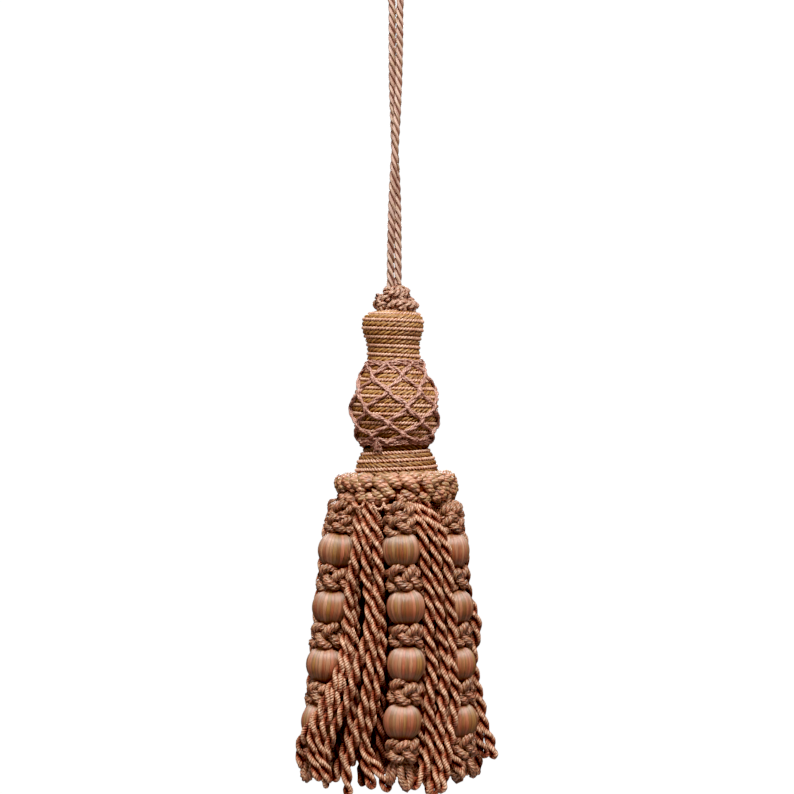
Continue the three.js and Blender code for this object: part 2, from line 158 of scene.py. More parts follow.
# %% [markdown]
# A tube is rings of points joined by four-sided faces, with a cap of such faces at each open end. Each
# corner of a face also keeps its lay, which is how far round and how far along the cord it is: the thread
# patterns are drawn by it. The tone is one number for a whole cord, so that two cords of one finish don't
# look alike.

# %% Tubes
Part = namedtuple("Part", "vertices faces lay tone")


def skin(rings, corners, spans, length):
    """Faces between rings of corners, and the lay of their corners. length is the distance to each ring."""
    ring, corner = np.meshgrid(np.arange(spans), np.arange(corners), indexing="ij")
    here = ring * corners
    after = (ring + 1) % rings * corners
    beside = (corner + 1) % corners
    faces = np.stack([here + corner, here + beside, after + beside, after + corner], -1)
    round_it = np.stack([corner, corner + 1, corner + 1, corner], -1) / corners
    along_it = np.stack([length[ring], length[ring], length[ring + 1], length[ring + 1]], -1)
    return faces.reshape(-1, 4), np.stack([round_it, along_it], -1).reshape(-1, 4, 2)


def tube(points, sides, radius, corners=8, flat=1.0, closed=False, tone=0.0):
    """A tube along the points. radius is one number, or one per ring and corner; flat thins one side."""
    rings = len(points)
    angle = 2 * np.pi * np.arange(corners) / corners
    radius = np.broadcast_to(radius, (rings, corners))
    across = (radius * np.cos(angle) * flat)[..., None] * sides[0][:, None]
    aside = (radius * np.sin(angle))[..., None] * sides[1][:, None]
    vertices = (points[:, None] + across + aside).reshape(-1, 3)
    length = run_length(np.vstack([points, points[:1]]))
    faces, lay = skin(rings, corners, rings if closed else rings - 1, length)
    if not closed:
        k = np.arange(corners // 2 - 1)
        cap = np.stack([k, k + 1, corners - 2 - k, corners - 1 - k], -1)
        caps = np.vstack([cap[:, ::-1], cap + (rings - 1) * corners])
        heights = np.where(caps < corners, 0.0, length[rings - 1])
        faces = np.vstack([faces, caps])
        lay = np.vstack([lay, np.stack([(caps % corners) / corners, heights], -1)])
    return Part(vertices, faces, lay, np.full(len(vertices), tone))


print("a tube along the bend has", len(tube(sample_line, sample_sides, 0.1).faces), "faces")

# %% [markdown]
# A piece is one mesh of many such parts. It rides on the frame's only body and stands for its CAD node.
# One mesh is quicker for Blender than hundreds of objects.


# %% Pieces
def add_piece(name, parts, finish, node):
    """One mesh of several parts, put in the place of a CAD node."""
    starts = np.cumsum([0] + [len(part.vertices) for part in parts[:-1]])
    vertices = np.vstack([part.vertices for part in parts]) * MM
    faces = np.vstack([part.faces + start for part, start in zip(parts, starts)]).astype(np.int32)
    lay = np.vstack([part.lay.reshape(-1, 2) for part in parts])
    tone = np.concatenate([part.tone for part in parts])
    mesh = bpy.data.meshes.new(name)
    mesh.vertices.add(len(vertices))
    mesh.vertices.foreach_set("co", vertices.ravel())
    mesh.loops.add(faces.size)
    mesh.loops.foreach_set("vertex_index", faces.ravel())
    mesh.polygons.add(len(faces))
    mesh.polygons.foreach_set("loop_start", np.arange(0, faces.size, 4, dtype=np.int32))
    mesh.update(calc_edges=True)
    mesh.uv_layers.new(name="lay").uv.foreach_set("vector", lay.ravel())
    mesh.attributes.new("tone", "FLOAT", "POINT").data.foreach_set("value", tone)
    mesh.shade_smooth()
    mesh.materials.append(finish.material)
    piece = bpy.data.objects.new(name, mesh)
    bpy.context.scene.collection.objects.link(piece)
    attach(piece, "root")
    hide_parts(node)
    print(name, "-", 2 * len(faces), "triangles")
    return piece


# %% [markdown]
# ## Thread finishes
# Close up, every cord shows the threads it was laid from, each dyed a little differently. A picture wrapped
# on the cord would blur and repeat. A finish made of nodes stays sharp: it gives each thread a number,
# takes a colour by that number, and raises the thread with a bump. Shader values are written as plain sums,
# and the small class below turns each operator into a Math node.


# %% Shader sums
class Wire:
    """A shader value that Python's operators can work on, from either side."""

    def __init__(self, finish, socket):
        self.finish = finish
        self.socket = socket

    def __add__(self, other):
        return self.finish.maths("ADD", self, other)

    def __sub__(self, other):
        return self.finish.maths("SUBTRACT", self, other)

    def __rsub__(self, other):
        return self.finish.maths("SUBTRACT", other, self)

    def __mul__(self, other):
        return self.finish.maths("MULTIPLY", self, other)

    def __truediv__(self, other):
        return self.finish.maths("DIVIDE", self, other)

    def __rtruediv__(self, other):
        return self.finish.maths("DIVIDE", other, self)

    def __pow__(self, other):
        return self.finish.maths("POWER", self, other)

    def __rpow__(self, other):
        return self.finish.maths("POWER", other, self)

    __radd__ = __add__
    __rmul__ = __mul__

    def output(self, name):
        """Another output of the same node."""
        return Wire(self.finish, self.socket.node.outputs[name])


# %% [markdown]
# A dye is written #rrggbb, as on web pages. A shader wants linear light, so the curve of screens is taken
# off first. All nodes come from one method, `node`, and the methods after it only give short names to
# common ones.

# %% Finishes
SCREEN_KNEE = 0.04045


def dye(code):
    """A colour #rrggbb in the linear values that a shader takes."""
    values = [int(code[i : i + 2], 16) / 255 for i in (1, 3, 5)]
    return tuple(v / 12.92 if v <= SCREEN_KNEE else ((v + 0.055) / 1.055) ** 2.4 for v in values) + (1.0,)


class Finish:
    """A material whose colour, roughness and bump come from a few nodes."""

    def __init__(self, name):
        self.material = bpy.data.materials.new(name)
        self.material.use_nodes = True
        self.tree = self.material.node_tree
        self.shader = self.tree.nodes["Principled BSDF"]

    def feed(self, socket, value):
        if isinstance(value, Wire):
            self.tree.links.new(value.socket, socket)
        else:
            socket.default_value = value

    def node(self, kind, settings, inputs, output=0):
        """Any node: its kind, its settings, and what goes into its sockets. Gives one of its outputs."""
        node = self.tree.nodes.new(kind)
        for name, value in settings.items():
            if name == "stops":
                ramp = node.color_ramp.elements
                while len(ramp) < len(value):
                    ramp.new(0.5)
                for stop, (place, colour) in zip(ramp, value):
                    stop.position = place
                    stop.color = colour
            else:
                setattr(node, name, value)
        for name, value in inputs.items():
            self.feed(node.inputs[name], value)
        return Wire(self, node.outputs[output])

    def maths(self, operation, *values):
        return self.node("ShaderNodeMath", {"operation": operation}, dict(enumerate(values)))

    def vector(self, *values):
        return self.node("ShaderNodeCombineXYZ", {}, dict(enumerate(values)))

    def lay(self):
        """How far round its cord a point is, from 0 to 1, and how far along it, in mm."""
        lay = self.node("ShaderNodeUVMap", {"uv_map": "lay"}, {})
        split = self.node("ShaderNodeSeparateXYZ", {}, {0: lay})
        return split, split.output("Y")

    def tone(self):
        return self.node("ShaderNodeAttribute", {"attribute_name": "tone"}, {}, "Fac")

    def chance(self, *values):
        """A chance from 0 to 1 that belongs to two or three numbers."""
        settings = {"noise_dimensions": f"{len(values)}D"}
        return self.node("ShaderNodeTexWhiteNoise", settings, {"Vector": self.vector(*values)})

    def noise(self, place, detail):
        """Noise that changes smoothly along a line."""
        inputs = {"W": place, "Scale": 1.0, "Detail": detail}
        return self.node("ShaderNodeTexNoise", {"noise_dimensions": "1D"}, inputs)

    def ramp(self, dyes, place):
        """A colour from a row of dyes, by a place from 0 to 1."""
        stops = [(i / (len(dyes) - 1), dye(code)) for i, code in enumerate(dyes)]
        return self.node("ShaderNodeValToRGB", {"stops": stops}, {0: place})

    def mix(self, share, first, second, blend="MIX"):
        settings = {"data_type": "RGBA", "blend_type": blend}
        return self.node("ShaderNodeMix", settings, {0: share, 6: first, 7: second}, 2)

    def bump(self, height, distance):
        return self.node("ShaderNodeBump", {}, {"Strength": 1.0, "Distance": distance, "Height": height})

    def set(self, **values):
        for name, value in values.items():
            self.feed(self.shader.inputs[name.replace("_", " ")], value)


print("the grey #808080 is", round(dye("#808080")[0], 3), "in linear light")

# %% [markdown]
# A wound or twisted cord is one pattern with other numbers: threads lie side by side round the cord and
# lean along it. `count` is how many lie side by side and `step` is the distance from one to the next along
# the cord, so a large `step` gives long lines and a small one gives threads wrapped nearly straight across.
# A negative `step` leans them the other way. One function is chosen over a material made for each cord,
# because a change to the pattern then reaches them all.

# %% Thread finish
THREAD_LIGHT = (1.0, 0.83, 0.7, 1)  # colour of the sheen
LONG = 1000.0  # a length in mm that no thread reaches
SHUFFLE = 9  # starts the shades of each thread at a place of its own
PATCH_TONE = 91.7  # these two start each cord at another place of the noise
WAVER_TONE = 37.1
WAVER_LENGTH = 1.4
PATCH_GAIN = 3.6  # these two stretch the noise, which stays near its middle, over all dyes
PATCH_SHIFT = 1.3
BRIGHTEST = 1.15
CREST_ROUGHNESS = 0.38
GROOVE_ROUGHNESS = 0.4  # added in the grooves


def thread_finish(
    name, dyes, dark, count, step, depth, run=1.2, hops=0, patch=8.0, mixed=0.5, deep=0.85, crease_shade=0.0,
    plies=0, shine=0.6, highlight_paint=0.15, vary=0.6, highlight_dye="#eec8aa", waver=0.0,
):
    """A finish of threads laid side by side.

    dyes colour the threads, dark is the painted shade in the grooves between them, and highlight_dye the
    painted highlight on their crests. depth is a thread's height in mm. A thread's brightness changes every
    run mm along it, and hops times round the cord. patch is the length of a patch of one dye, and mixed the
    share of chance in the choice of dye. deep is how dark the painted shade in the grooves is, crease_shade
    how dark the painted shade on a ply's inner side, and plies how many plies one tube stands for, with
    painted shade between them. shine is the strength of the sheen, highlight_paint of the painted
    highlights, and vary of the painted glints that change each thread's brightness. waver is how uneven
    threads lie.
    """
    finish = Finish(name)
    lay, along = finish.lay()
    tone = finish.tone()
    place = lay * count + along / step
    if waver:
        place = place + finish.noise(along / WAVER_LENGTH + tone * WAVER_TONE, 1.0) * waver
    number = finish.maths("FLOOR", place)
    ridge = finish.maths("SINE", (place - number) * math.pi)
    chance = finish.chance(number, tone)
    stitch = finish.maths("FLOOR", along / run + lay * hops + chance * SHUFFLE)
    glint = finish.chance(number, stitch, tone)
    drift = finish.noise(along / patch + tone * PATCH_TONE, 2.0) * PATCH_GAIN - PATCH_SHIFT
    colour = finish.ramp(dyes, chance * mixed + drift * (1 - mixed))
    # Each stitch of a thread is made brighter or darker by its glint, a painted glint that changes by chance.
    colour = finish.mix(1.0, colour, BRIGHTEST - vary + glint * vary, "MULTIPLY")
    # Painted shade: the grooves between threads are darkened towards the dark dye.
    groove_shade = (1 - ridge) ** 1.4 * deep
    pale = glint**3
    if crease_shade:
        # Painted shade on the inner side of each ply, and a painted highlight on its outer crest.
        crest = finish.maths("COSINE", lay * (2 * math.pi)) * 0.5 + 0.5
        groove_shade = groove_shade + (1 - groove_shade) * ((1 - crest) * crease_shade)
        pale = crest**3 * (0.2 + glint * 0.8)
    # Painted highlight: crests and glints are mixed towards the highlight dye.
    colour = finish.mix(pale * highlight_paint, colour, dye(highlight_dye))
    if plies:
        # Painted shade in the grooves between the plies that one tube stands for.
        between = 0.5 - finish.maths("COSINE", lay * (2 * math.pi * plies)) * 0.5
        groove_shade = groove_shade * 0.4 + between**1.5 * 0.75
    finish.set(
        Base_Color=finish.mix(groove_shade, colour, dye(dark)),
        Roughness=CREST_ROUGHNESS + groove_shade * GROOVE_ROUGHNESS,
        Normal=finish.bump(ridge, depth * MM),
        Specular_IOR_Level=shine,
        Specular_Tint=THREAD_LIGHT,
    )
    print(name, "-", len(finish.tree.nodes), "nodes")
    return finish


# %% [markdown]
# ## Hanging cord
# One length of three-ply cord leaves the head, turns about its own other half, makes the eye that hangs on
# a key or a hook, and comes down again. The photo ends below the eye, so the eye is kept small. One tube
# with a three-lobed section could stand for the cord. Three tubes wound about its route are chosen, because
# this cord is seen close up, and plies of their own shade each other. The route repeats the CAD node's.

# %% Hanging cord
CORD_LAY = -8.8  # one turn of the plies; the minus is the hand of the twist
CORD_PLIES = 3
CORD_PLY_RADIUS = 0.6
CORD_SPACING = 0.5
CORD_TONE_STEP = 0.13
CORD_ROUTE = np.array([
    (-1.36, 0, -111.7), (-1.36, 0, -107), (-1.36, 0, -102), (-1.25, -0.5, -92), (-1.0, -0.85, -82),
    (-0.55, -1.05, -72), (0.05, -1.12, -63), (0.6, -1, -54), (1.05, -0.75, -44), (1.3, -0.4, -34),
    (1.4, -0.1, -26), (1.5, 0, -20), (2.45, 0, -14.5), (3.8, 0, -9.5), (4.9, 0, -5), (4.4, 0, -1.6),
    (2.6, 0, 0.4), (0, 0, 1.05), (-2.6, 0, 0.4), (-4.4, 0, -1.6), (-4.9, 0, -5), (-3.6, 0, -9.5),
    (-1.9, 0, -14.5), (-0.9, 0, -20), (-0.85, 0.1, -26), (-0.85, 0.4, -34), (-0.75, 0.75, -44),
    (-0.4, 1, -54), (-0.05, 1.12, -63), (0.45, 1.05, -72), (0.8, 0.85, -82), (0.9, 0.5, -92),
    (0.9, 0, -102), (0.9, 0, -107), (0.9, 0, -111.7),
])

cord_finish = thread_finish(
    "cord threads", ["#5e372a", "#72473b", "#7a5349", "#6d4d34", "#836156"], "#451606", 6, -2.2, 0.06,
    run=6.0, patch=9.0, mixed=0.25, deep=0.3, crease_shade=0.9, highlight_paint=0.3, vary=0.3,
)
cord_line = smooth_line(CORD_ROUTE, CORD_SPACING)
cord_sides = carried_sides(cord_line, (0, -1, 0))
cord_plies = []
for k in range(CORD_PLIES):
    outward = turned(cord_sides, 2 * np.pi * (run_length(cord_line) / CORD_LAY + k / CORD_PLIES))[0]
    ply_line = cord_line + outward * CORD_PLY_RADIUS
    ply_sides = outward_sides(ply_line, outward)
    cord_plies.append(tube(ply_line, ply_sides, CORD_PLY_RADIUS, tone=CORD_TONE_STEP * k))
hanging_cord = add_piece("hanging_cord_plies", cord_plies, cord_finish, "hanging_cord")

# %% [markdown]
# ## The wound head
# The head is a turned wooden mould covered by one cord after another. A fat gold cord goes round with a
# thin pink one beside it, down over the cap, the neck and the ball; the foot is wound on its own, the other
# way about. A turned form with a bump for the ridges would be quicker, but its edge against the white
# ground would be smooth. So the cords are really wound over an outline. The whole head leans a little, as
# it hangs in the photo, so its lines are drawn upright and then tilted.

# %% Head: outline
HEAD_LEAN = math.radians(1.45)
HEAD_TOP = np.array([-0.75, 0.0, -112.2])
HEAD_OUTLINE = np.array([
    (2.2, 0.5), (4.4, 0.4), (6.4, 0), (8.4, -1.1), (9.1, -3.0), (9.0, -5.6), (8.4, -7.6), (7.9, -9.6),
    (7.8, -12.6), (8.1, -15.0), (9.1, -17.6), (10.6, -21.0), (12.2, -25.0), (12.8, -28.6), (12.5, -32.6),
    (11.6, -36.2), (10.4, -39.0), (9.8, -41.0), (10.9, -43.0), (11.9, -45.4), (12.3, -47.6), (12.3, -50.2),
])
WAIST_Z = -40.2

flat_outline = np.column_stack([HEAD_OUTLINE[:, 0], np.zeros(len(HEAD_OUTLINE)), HEAD_OUTLINE[:, 1]])
outline_line = smooth_line(flat_outline, 0.2)
outline_length = run_length(outline_line)
outline_normal = np.cross(heading(outline_line), (0, 1, 0))
waist = float(np.interp(-WAIST_Z, -outline_line[:, 2], outline_length))
foot_end = outline_length[-1]
print("the outline is", round(foot_end, 1), "mm long, with the waist at", round(waist, 1), "mm")


# %% Head: places and turned forms
def around(radius, azimuth, z):
    """Points about the tassel's middle; azimuth 0 is the front and a quarter turn is the right side."""
    radius, azimuth, z = np.broadcast_arrays(radius, azimuth, z)
    return np.stack([radius * np.sin(azimuth), -radius * np.cos(azimuth), z], -1)


def leaned(points):
    """Points of the upright head, tilted and put in their place."""
    cosine = math.cos(HEAD_LEAN)
    sine = math.sin(HEAD_LEAN)
    x, y, z = points.T
    return np.stack([x * cosine - z * sine, y, x * sine + z * cosine], -1) + HEAD_TOP


def leaned_sides(sides):
    return [leaned(side) - HEAD_TOP for side in sides]


def lathe(outline, segments, place, tone=0.0):
    """A turned form from a closed outline of (radius, z) points; place moves its points where they belong."""
    azimuth = 2 * np.pi * np.arange(segments) / segments
    rings = np.stack([around(radius, azimuth, z) for radius, z in outline])
    length = run_length(np.vstack([rings[:, 0], rings[:1, 0]]))
    faces, lay = skin(len(outline), segments, len(outline), length)
    facing_out = [0, 3, 2, 1]
    vertices = place(rings.reshape(-1, 3))
    return Part(vertices, faces[:, facing_out], lay[:, facing_out], np.full(len(vertices), tone))


print("the foot of the head leans to x", round(leaned(outline_line[-1:] * (0, 0, 1))[0, 0], 2), "mm")

# %% [markdown]
# A wound cord follows the outline down as it goes round. Its section isn't round: it has a lobe for each
# ply, and the section turns along the cord, which gives the twist with fewer faces than a tube for each
# ply. On the foot the cords lie level in front and climb at the back: `level` is how much of the climb is
# left to there.

# %% Head: windings
WINDING_PITCH = 2.65
HEAD_MEAN_RADIUS = 11
WINDING_START = 0.2
FOOT_OVERLAP = 0.8
FOOT_LEVEL = 0.75
LEAST_LOBE = 0.002  # under the root, where two lobes meet
WoundCord = namedtuple("WoundCord", "section inset spacing lay")


def plied_section(plies, reach, corners):
    """Radius at each corner of a cord of round plies, with 1 the greatest. reach is out to a ply's middle."""
    angle = ((np.arange(corners) * plies / corners + 0.5) % 1 - 0.5) * 2 * np.pi / plies
    lobe = np.maximum((1 - reach) ** 2 - (reach * np.sin(angle)) ** 2, LEAST_LOBE)
    return reach * np.cos(angle) + np.sqrt(lobe)


def wound_cord(cord, first, last, hand, tone, level=0.0):
    """A cord wound over the head between two distances along its outline. hand is 1 or -1, the way round."""
    turns = (last - first) / WINDING_PITCH
    turn = np.linspace(0, turns, int(turns * 2 * np.pi * HEAD_MEAN_RADIUS / cord.spacing))
    at = first + (turn + level * np.sin(2 * np.pi * turn) / (2 * np.pi)) * WINDING_PITCH
    radius, z, across, up = [
        np.interp(at, outline_length, values)
        for values in (outline_line[:, 0], outline_line[:, 2], outline_normal[:, 0], outline_normal[:, 2])
    ]
    azimuth = np.pi + hand * 2 * np.pi * turn
    middle = around(radius - cord.inset * across, azimuth, z - cord.inset * up)
    twist = 2 * np.pi * run_length(middle) / (-hand * cord.lay)
    sides = turned(outward_sides(middle, around(across, azimuth, up)), twist)
    return tube(leaned(middle), leaned_sides(sides), cord.section, len(cord.section), tone=tone)


gold_cord = WoundCord(1.0 * plied_section(4, 0.586, 20), 0.8, 0.8, 7.2)
pink_cord = WoundCord(0.58 * plied_section(2, 0.44, 8), 0.2, 0.28, 2.0)
foot_start = waist - FOOT_OVERLAP
beside_gold = WINDING_PITCH / 2
gold_winding = wound_cord(gold_cord, WINDING_START, waist, 1, 0.1)
foot_winding = wound_cord(gold_cord, foot_start, foot_end, -1, 0.7, FOOT_LEVEL)
pink_windings = [
    wound_cord(pink_cord, WINDING_START + beside_gold, waist, 1, 0.2),
    wound_cord(pink_cord, foot_start + beside_gold, foot_end, -1, 0.6, FOOT_LEVEL),
]
print("the gold cord goes round", round((waist - WINDING_START) / WINDING_PITCH, 1), "times above the waist")

# %% Head: pieces
MOULD_INSET = 1.2
MOULD_BORE = 0.6
MOULD_TOP = -0.9
MOULD_DROP = 0.2

gold_finish = thread_finish(
    "gold threads", ["#6e3915", "#864d1d", "#925c25", "#9a632f", "#8a5023"], "#3c1804", 12, LONG, 0.1,
    run=2.5, mixed=0.6, deep=0.4, plies=4, highlight_paint=0.3, highlight_dye="#dcae70",
)
# A darker copy of the gold threads for the foot, which faces up to the top lamp: painted shade.
foot_shade_finish = thread_finish(
    "foot gold threads in painted shade", ["#633111", "#744216", "#804f1d", "#875525", "#78441b"], "#341403", 12, LONG, 0.1,
    run=2.5, mixed=0.6, deep=0.5, plies=4, highlight_dye="#dcae70",
)
pink_finish = thread_finish(
    "pink threads", ["#a4654a", "#ae745a", "#b9876d", "#b37e62"], "#6a2a12", 2, 1.0, 0.05,
    mixed=0.4, deep=0.3, plies=2, highlight_paint=0.3,
)
# The mould and the band's core show only in gaps between cords, so they are dyed nearly black: painted shade.
gap_shade_finish = thread_finish(
    "lining threads in painted shade", ["#3a1408", "#4a1e0e", "#3f1a0a"], "#140401", 60, 3.0, 0.1, shine=0.05, highlight_paint=0.0,
)
add_piece("head_gold_cord", [gold_winding], gold_finish, "head")
add_piece("head_foot_cord", [foot_winding], foot_shade_finish, "head")
add_piece("head_pink_cord", pink_windings, pink_finish, "head")
mould_wall = [
    (max(radius - MOULD_INSET, MOULD_BORE), min(z - MOULD_DROP, MOULD_TOP))
    for radius, _, z in outline_line[::6]
]
mould_outline = [(MOULD_BORE, MOULD_TOP)] + mould_wall + [(MOULD_BORE, mould_wall[-1][1])]
add_piece("head_mould", [lathe(mould_outline, 72, leaned)], gap_shade_finish, "head")

# %% [markdown]
# ## The net over the ball
# A flat mauve braid is knotted into seven meshes round the ball. Each thread runs slantwise from knot to
# knot, the net is drawn in by rings at the neck and at the waist, and the end of the lower ring is left as
# a frayed tuft. A Wireframe modifier on a coarse ball would give a net too, but an even and stiff one. Here
# a function says where each knot is, with a little chance in it, because handwork is never quite even.

# %% Net: knots and lines
NET_MESHES = 7
NET_ROWS = [-15.2, -19.0, -23.8, -28.6, -33.4, -37.0, -39.0]
NET_TURN = math.radians(-12)
NET_LIFT = 0.35
NET_POINTS = 90
KNOT_SWAY = 0.07  # radians
KNOT_DROP = 0.6
CROSSING_LIFT = 0.15
LINE_EASE = 0.09


def scatter(index, salt):
    """The same small chance as in the CAD source, from -1 to 1. Each use has its own salt."""
    wave = math.sin(index * 12.9898 + salt * 78.233) * 43758.5453
    return 2 * (wave - math.floor(wave)) - 1


def net_knot(row, place):
    """Azimuth and height of a knot. Only the rows between the rings wander."""
    number = row * NET_MESHES + place % NET_MESHES
    loose = 0 < row < len(NET_ROWS) - 1
    azimuth = NET_TURN + 2 * math.pi / NET_MESHES * (place + (row % 2) / 2)
    z = NET_ROWS[row] + loose * KNOT_DROP * scatter(number, 2)
    return azimuth + loose * KNOT_SWAY * scatter(number, 1), z


def over_ball(azimuth, z, lift):
    """Points on the upright head, lifted off its windings."""
    radius = np.interp(-np.asarray(z), -outline_line[:, 2], outline_line[:, 0])
    return around(radius + lift, azimuth, z)


def net_line(place, lean_way):
    """One thread of the net from ring to ring. lean_way is 0 where it starts to the left, 1 to the right."""
    knots = []
    at = place
    for row in range(len(NET_ROWS)):
        knots.append(net_knot(row, at))
        at += row % 2 - 1 + lean_way
    azimuths, heights = np.array(knots).T
    rows = np.arange(len(knots))
    fine = np.linspace(0, len(knots) - 1, NET_POINTS)
    eased = fine - LINE_EASE * np.sin(2 * np.pi * fine)
    lift = NET_LIFT + CROSSING_LIFT * np.sin(np.pi * (fine + lean_way))
    return over_ball(np.interp(eased, rows, azimuths), np.interp(fine, rows, heights), lift)


print("a thread of the net is", round(run_length(net_line(0, 0))[-1], 1), "mm long")

# %% [markdown]
# Each thread of the net is two soft threads laid together. A knot is a short lump over the place where
# threads meet: it hides the crossing, as a real knot does, and needs no tying.

# %% Net: threads, knots and tuft
THREAD_APART = 0.5  # both as shares of the girth
THREAD_RADIUS = 0.62
LUMP_RADIUS = 0.72
LUMP_LIFT = 0.3
LEAST_END = 0.03  # keeps the rings at a rounded end from closing to a point
TUFT_AZIMUTH = math.radians(-29)
TUFT_Z = -38.2
TUFT_LIFT = 0.9
TUFT_RADIUS = 0.18


def from_axis(points, rise=0.0):
    """Direction from the tassel's middle out to each point. rise is how much of the height counts."""
    return unit(points * (1, 1, rise))


def rounded_ends(points, radius):
    """Radius at each ring of a tube whose two ends close like a thumb."""
    length = run_length(points)
    nearest = np.minimum(length, length[-1] - length)
    share = np.clip(1 - (1 - np.minimum(nearest / radius, 1)) ** 2, LEAST_END, 1)
    return (radius * np.sqrt(share))[:, None]


def on_head(points, radius, corners, flat, tone):
    """A soft thread laid on the head and flattened against it."""
    sides = outward_sides(points, from_axis(points))
    return tube(leaned(points), leaned_sides(sides), radius, corners, flat, tone=tone)


def net_thread(points, girth, lay, tone):
    """Two soft threads laid together over the head."""
    sides = outward_sides(points, from_axis(points))
    threads = []
    for half in (0, 1):
        outward = turned(sides, 2 * np.pi * (run_length(points) / lay + half / 2))[0]
        line = leaned(points + outward * girth * THREAD_APART)
        line_sides = carried_sides(line, leaned(outward[:1])[0] - HEAD_TOP)
        threads.append(tube(line, line_sides, girth * THREAD_RADIUS, 6, tone=tone + half))
    return threads


def net_lump(row, place):
    """The knot itself, a short lump that stands upright over the crossing."""
    number = row * NET_MESHES + place
    azimuth, z = net_knot(row, place)
    t = np.linspace(-1, 1, 11)
    reach = 0.8 + 0.2 * scatter(number, 10)
    lump = over_ball(azimuth + t * 0.05 * scatter(number, 8), z + reach * t, NET_LIFT + LUMP_LIFT)
    return on_head(lump, rounded_ends(lump, LUMP_RADIUS), 8, 0.8, scatter(number, 9))


def tuft_thread(k):
    """One thread of the frayed end."""
    drop = np.linspace(0, 1, 9)
    spread = 0.14 * scatter(k, 31)
    length = 2.6 + 1.0 * scatter(k, 32)
    lift = 0.7 + 0.5 * scatter(k, 33)
    tail = over_ball(TUFT_AZIMUTH + spread * drop, TUFT_Z - length * drop, TUFT_LIFT + lift * drop)
    return on_head(tail, TUFT_RADIUS, 6, 0.9, k)


print("a lump is", len(net_lump(1, 0).faces), "faces, and a thread of the tuft", len(tuft_thread(0).faces))

# %% Net
NET_GIRTH = 0.68
NET_LAY = 9.0
RING_GIRTH = 0.48
RING_LAY = 5.0
NET_RINGS = [(-14.9, 0.25, 5), (-15.7, 0.3, 7), (-38.9, 0.25, 6), (-39.5, 0.2, 5)]  # height, wave, waves
RING_BOB = 0.1
TUFT_THREADS = 18

net_parts = []
for place in range(NET_MESHES):
    for lean_way in (0, 1):
        lay = NET_LAY + 2 * scatter(place, 21)
        net_parts += net_thread(net_line(place, lean_way), NET_GIRTH, lay, scatter(place, 22 + lean_way))
    net_parts += [net_lump(row, place) for row in range(1, len(NET_ROWS) - 1)]
circle = np.linspace(0, 2 * np.pi, 150)
for z, wave, waves in NET_RINGS:
    ring = over_ball(circle, z + wave * np.sin(waves * circle), NET_LIFT + RING_BOB * np.cos(waves * circle))
    net_parts += net_thread(ring, RING_GIRTH, RING_LAY, z)
net_parts += [tuft_thread(k) for k in range(TUFT_THREADS)]
net_finish = thread_finish(
    "net threads", ["#814839", "#99604f", "#a87162", "#9e6458", "#b5806d"], "#3a1810", 3, 1.2, 0.15,
)
add_piece("ball_net_braid", net_parts, net_finish, "ball_net")

# %% [markdown]
# ## The ruff
# Gimp is a soft fat cord of loosely twisted plies. Loops of two-ply gimp in four rows hide where the
# hanging cord enters the head, and one cut end sticks out at the left. Such a tangle could be sculpted. It
# is made by rule instead, each loop most of a circle and tipped by chance, so that every loop stays a true
# cord. A plain turned form behind the loops closes the view between them.

# %% Ruff: plied cord
PLY_APART = 0.5  # these two as shares of the cord's girth
PLY_THICK = 0.52
PLY_TONE_STEP = 0.31


def plied_cord(line, sides, girth, lay, place, tone, plies=3, corners=6, closed=False):
    """A cord of separate plies twisted about a line. girth is its outer radius, one or one per point."""
    girth = np.broadcast_to(girth, len(line))[:, None]
    length = run_length(np.vstack([line, line[:1]])) if closed else run_length(line)
    turns = round(length[-1] / lay) if closed else length[-1] / lay
    twist = -2 * np.pi * turns * length[: len(line)] / length[-1]
    middle = place(np.zeros((1, 3)))
    cords = []
    for k in range(plies):
        outward = turned(sides, twist + 2 * np.pi * k / plies)[0]
        points = line + PLY_APART * girth * outward
        ply_sides = [place(side) - middle for side in outward_sides(points, outward, closed)]
        ply_tone = tone + PLY_TONE_STEP * k
        cords.append(tube(place(points), ply_sides, PLY_THICK * girth, corners, closed=closed, tone=ply_tone))
    return cords


sample_cord = plied_cord(sample_line, sample_sides, 0.1, 0.5, np.asarray, 0.0)
print("a cord along the bend has", len(sample_cord), "plies")

# %% Ruff
RUFF_ROWS = [(1.3, 5.0, 6), (3.2, 4.7, 6), (5.0, 3.8, 5), (6.4, 2.7, 4)]  # height, radius, loops
RUFF_END = np.array([  # radius, degrees, height
    (3.0, -70, 4.2), (4.0, -84, 4.6), (5.0, -90, 4.7), (5.7, -88, 4.9),
])
RUFF_FORM = [(1.2, 6.6), (2.3, 6.6), (3.4, 5.0), (4.6, 2.2), (5.0, 0.2), (1.2, 0.2)]
RUFF_ASIDE = (0.9, 0, 0)
RUFF_LAY = 3.6
RUFF_SPACING = 0.3
LOOP_GIRTH = 1.08
END_GIRTH = 1.0
LOOP_BEND = 125  # degrees to either side
LOOP_POINTS = 30
LOWEST_LOOP = 0.5


def ruff_place(points):
    return leaned(points + RUFF_ASIDE)


def ruff_loop(height, ring, azimuth, number):
    """One loop of gimp, lying on the ruff and tipped its own way."""
    bend = np.radians(np.linspace(-LOOP_BEND, LOOP_BEND, LOOP_POINTS)) + math.pi * scatter(number, 35)
    size = 2.2 + 0.5 * scatter(number, 36)
    up = height + size * np.sin(bend) * 0.6 + 0.3 * scatter(number, 38)
    lift = 0.5 * np.cos(np.linspace(-2.6, 2.6, LOOP_POINTS)) + 0.6 * scatter(number, 37)
    radius = ring - 0.45 * (up - height) + lift
    loop = around(radius, azimuth + size * np.cos(bend) / ring, np.maximum(up, LOWEST_LOOP))
    loop = smooth_line(loop, RUFF_SPACING)
    sides = outward_sides(loop, from_axis(loop, 0.4))
    return plied_cord(loop, sides, LOOP_GIRTH, RUFF_LAY, ruff_place, scatter(number, 39), 2, 8)


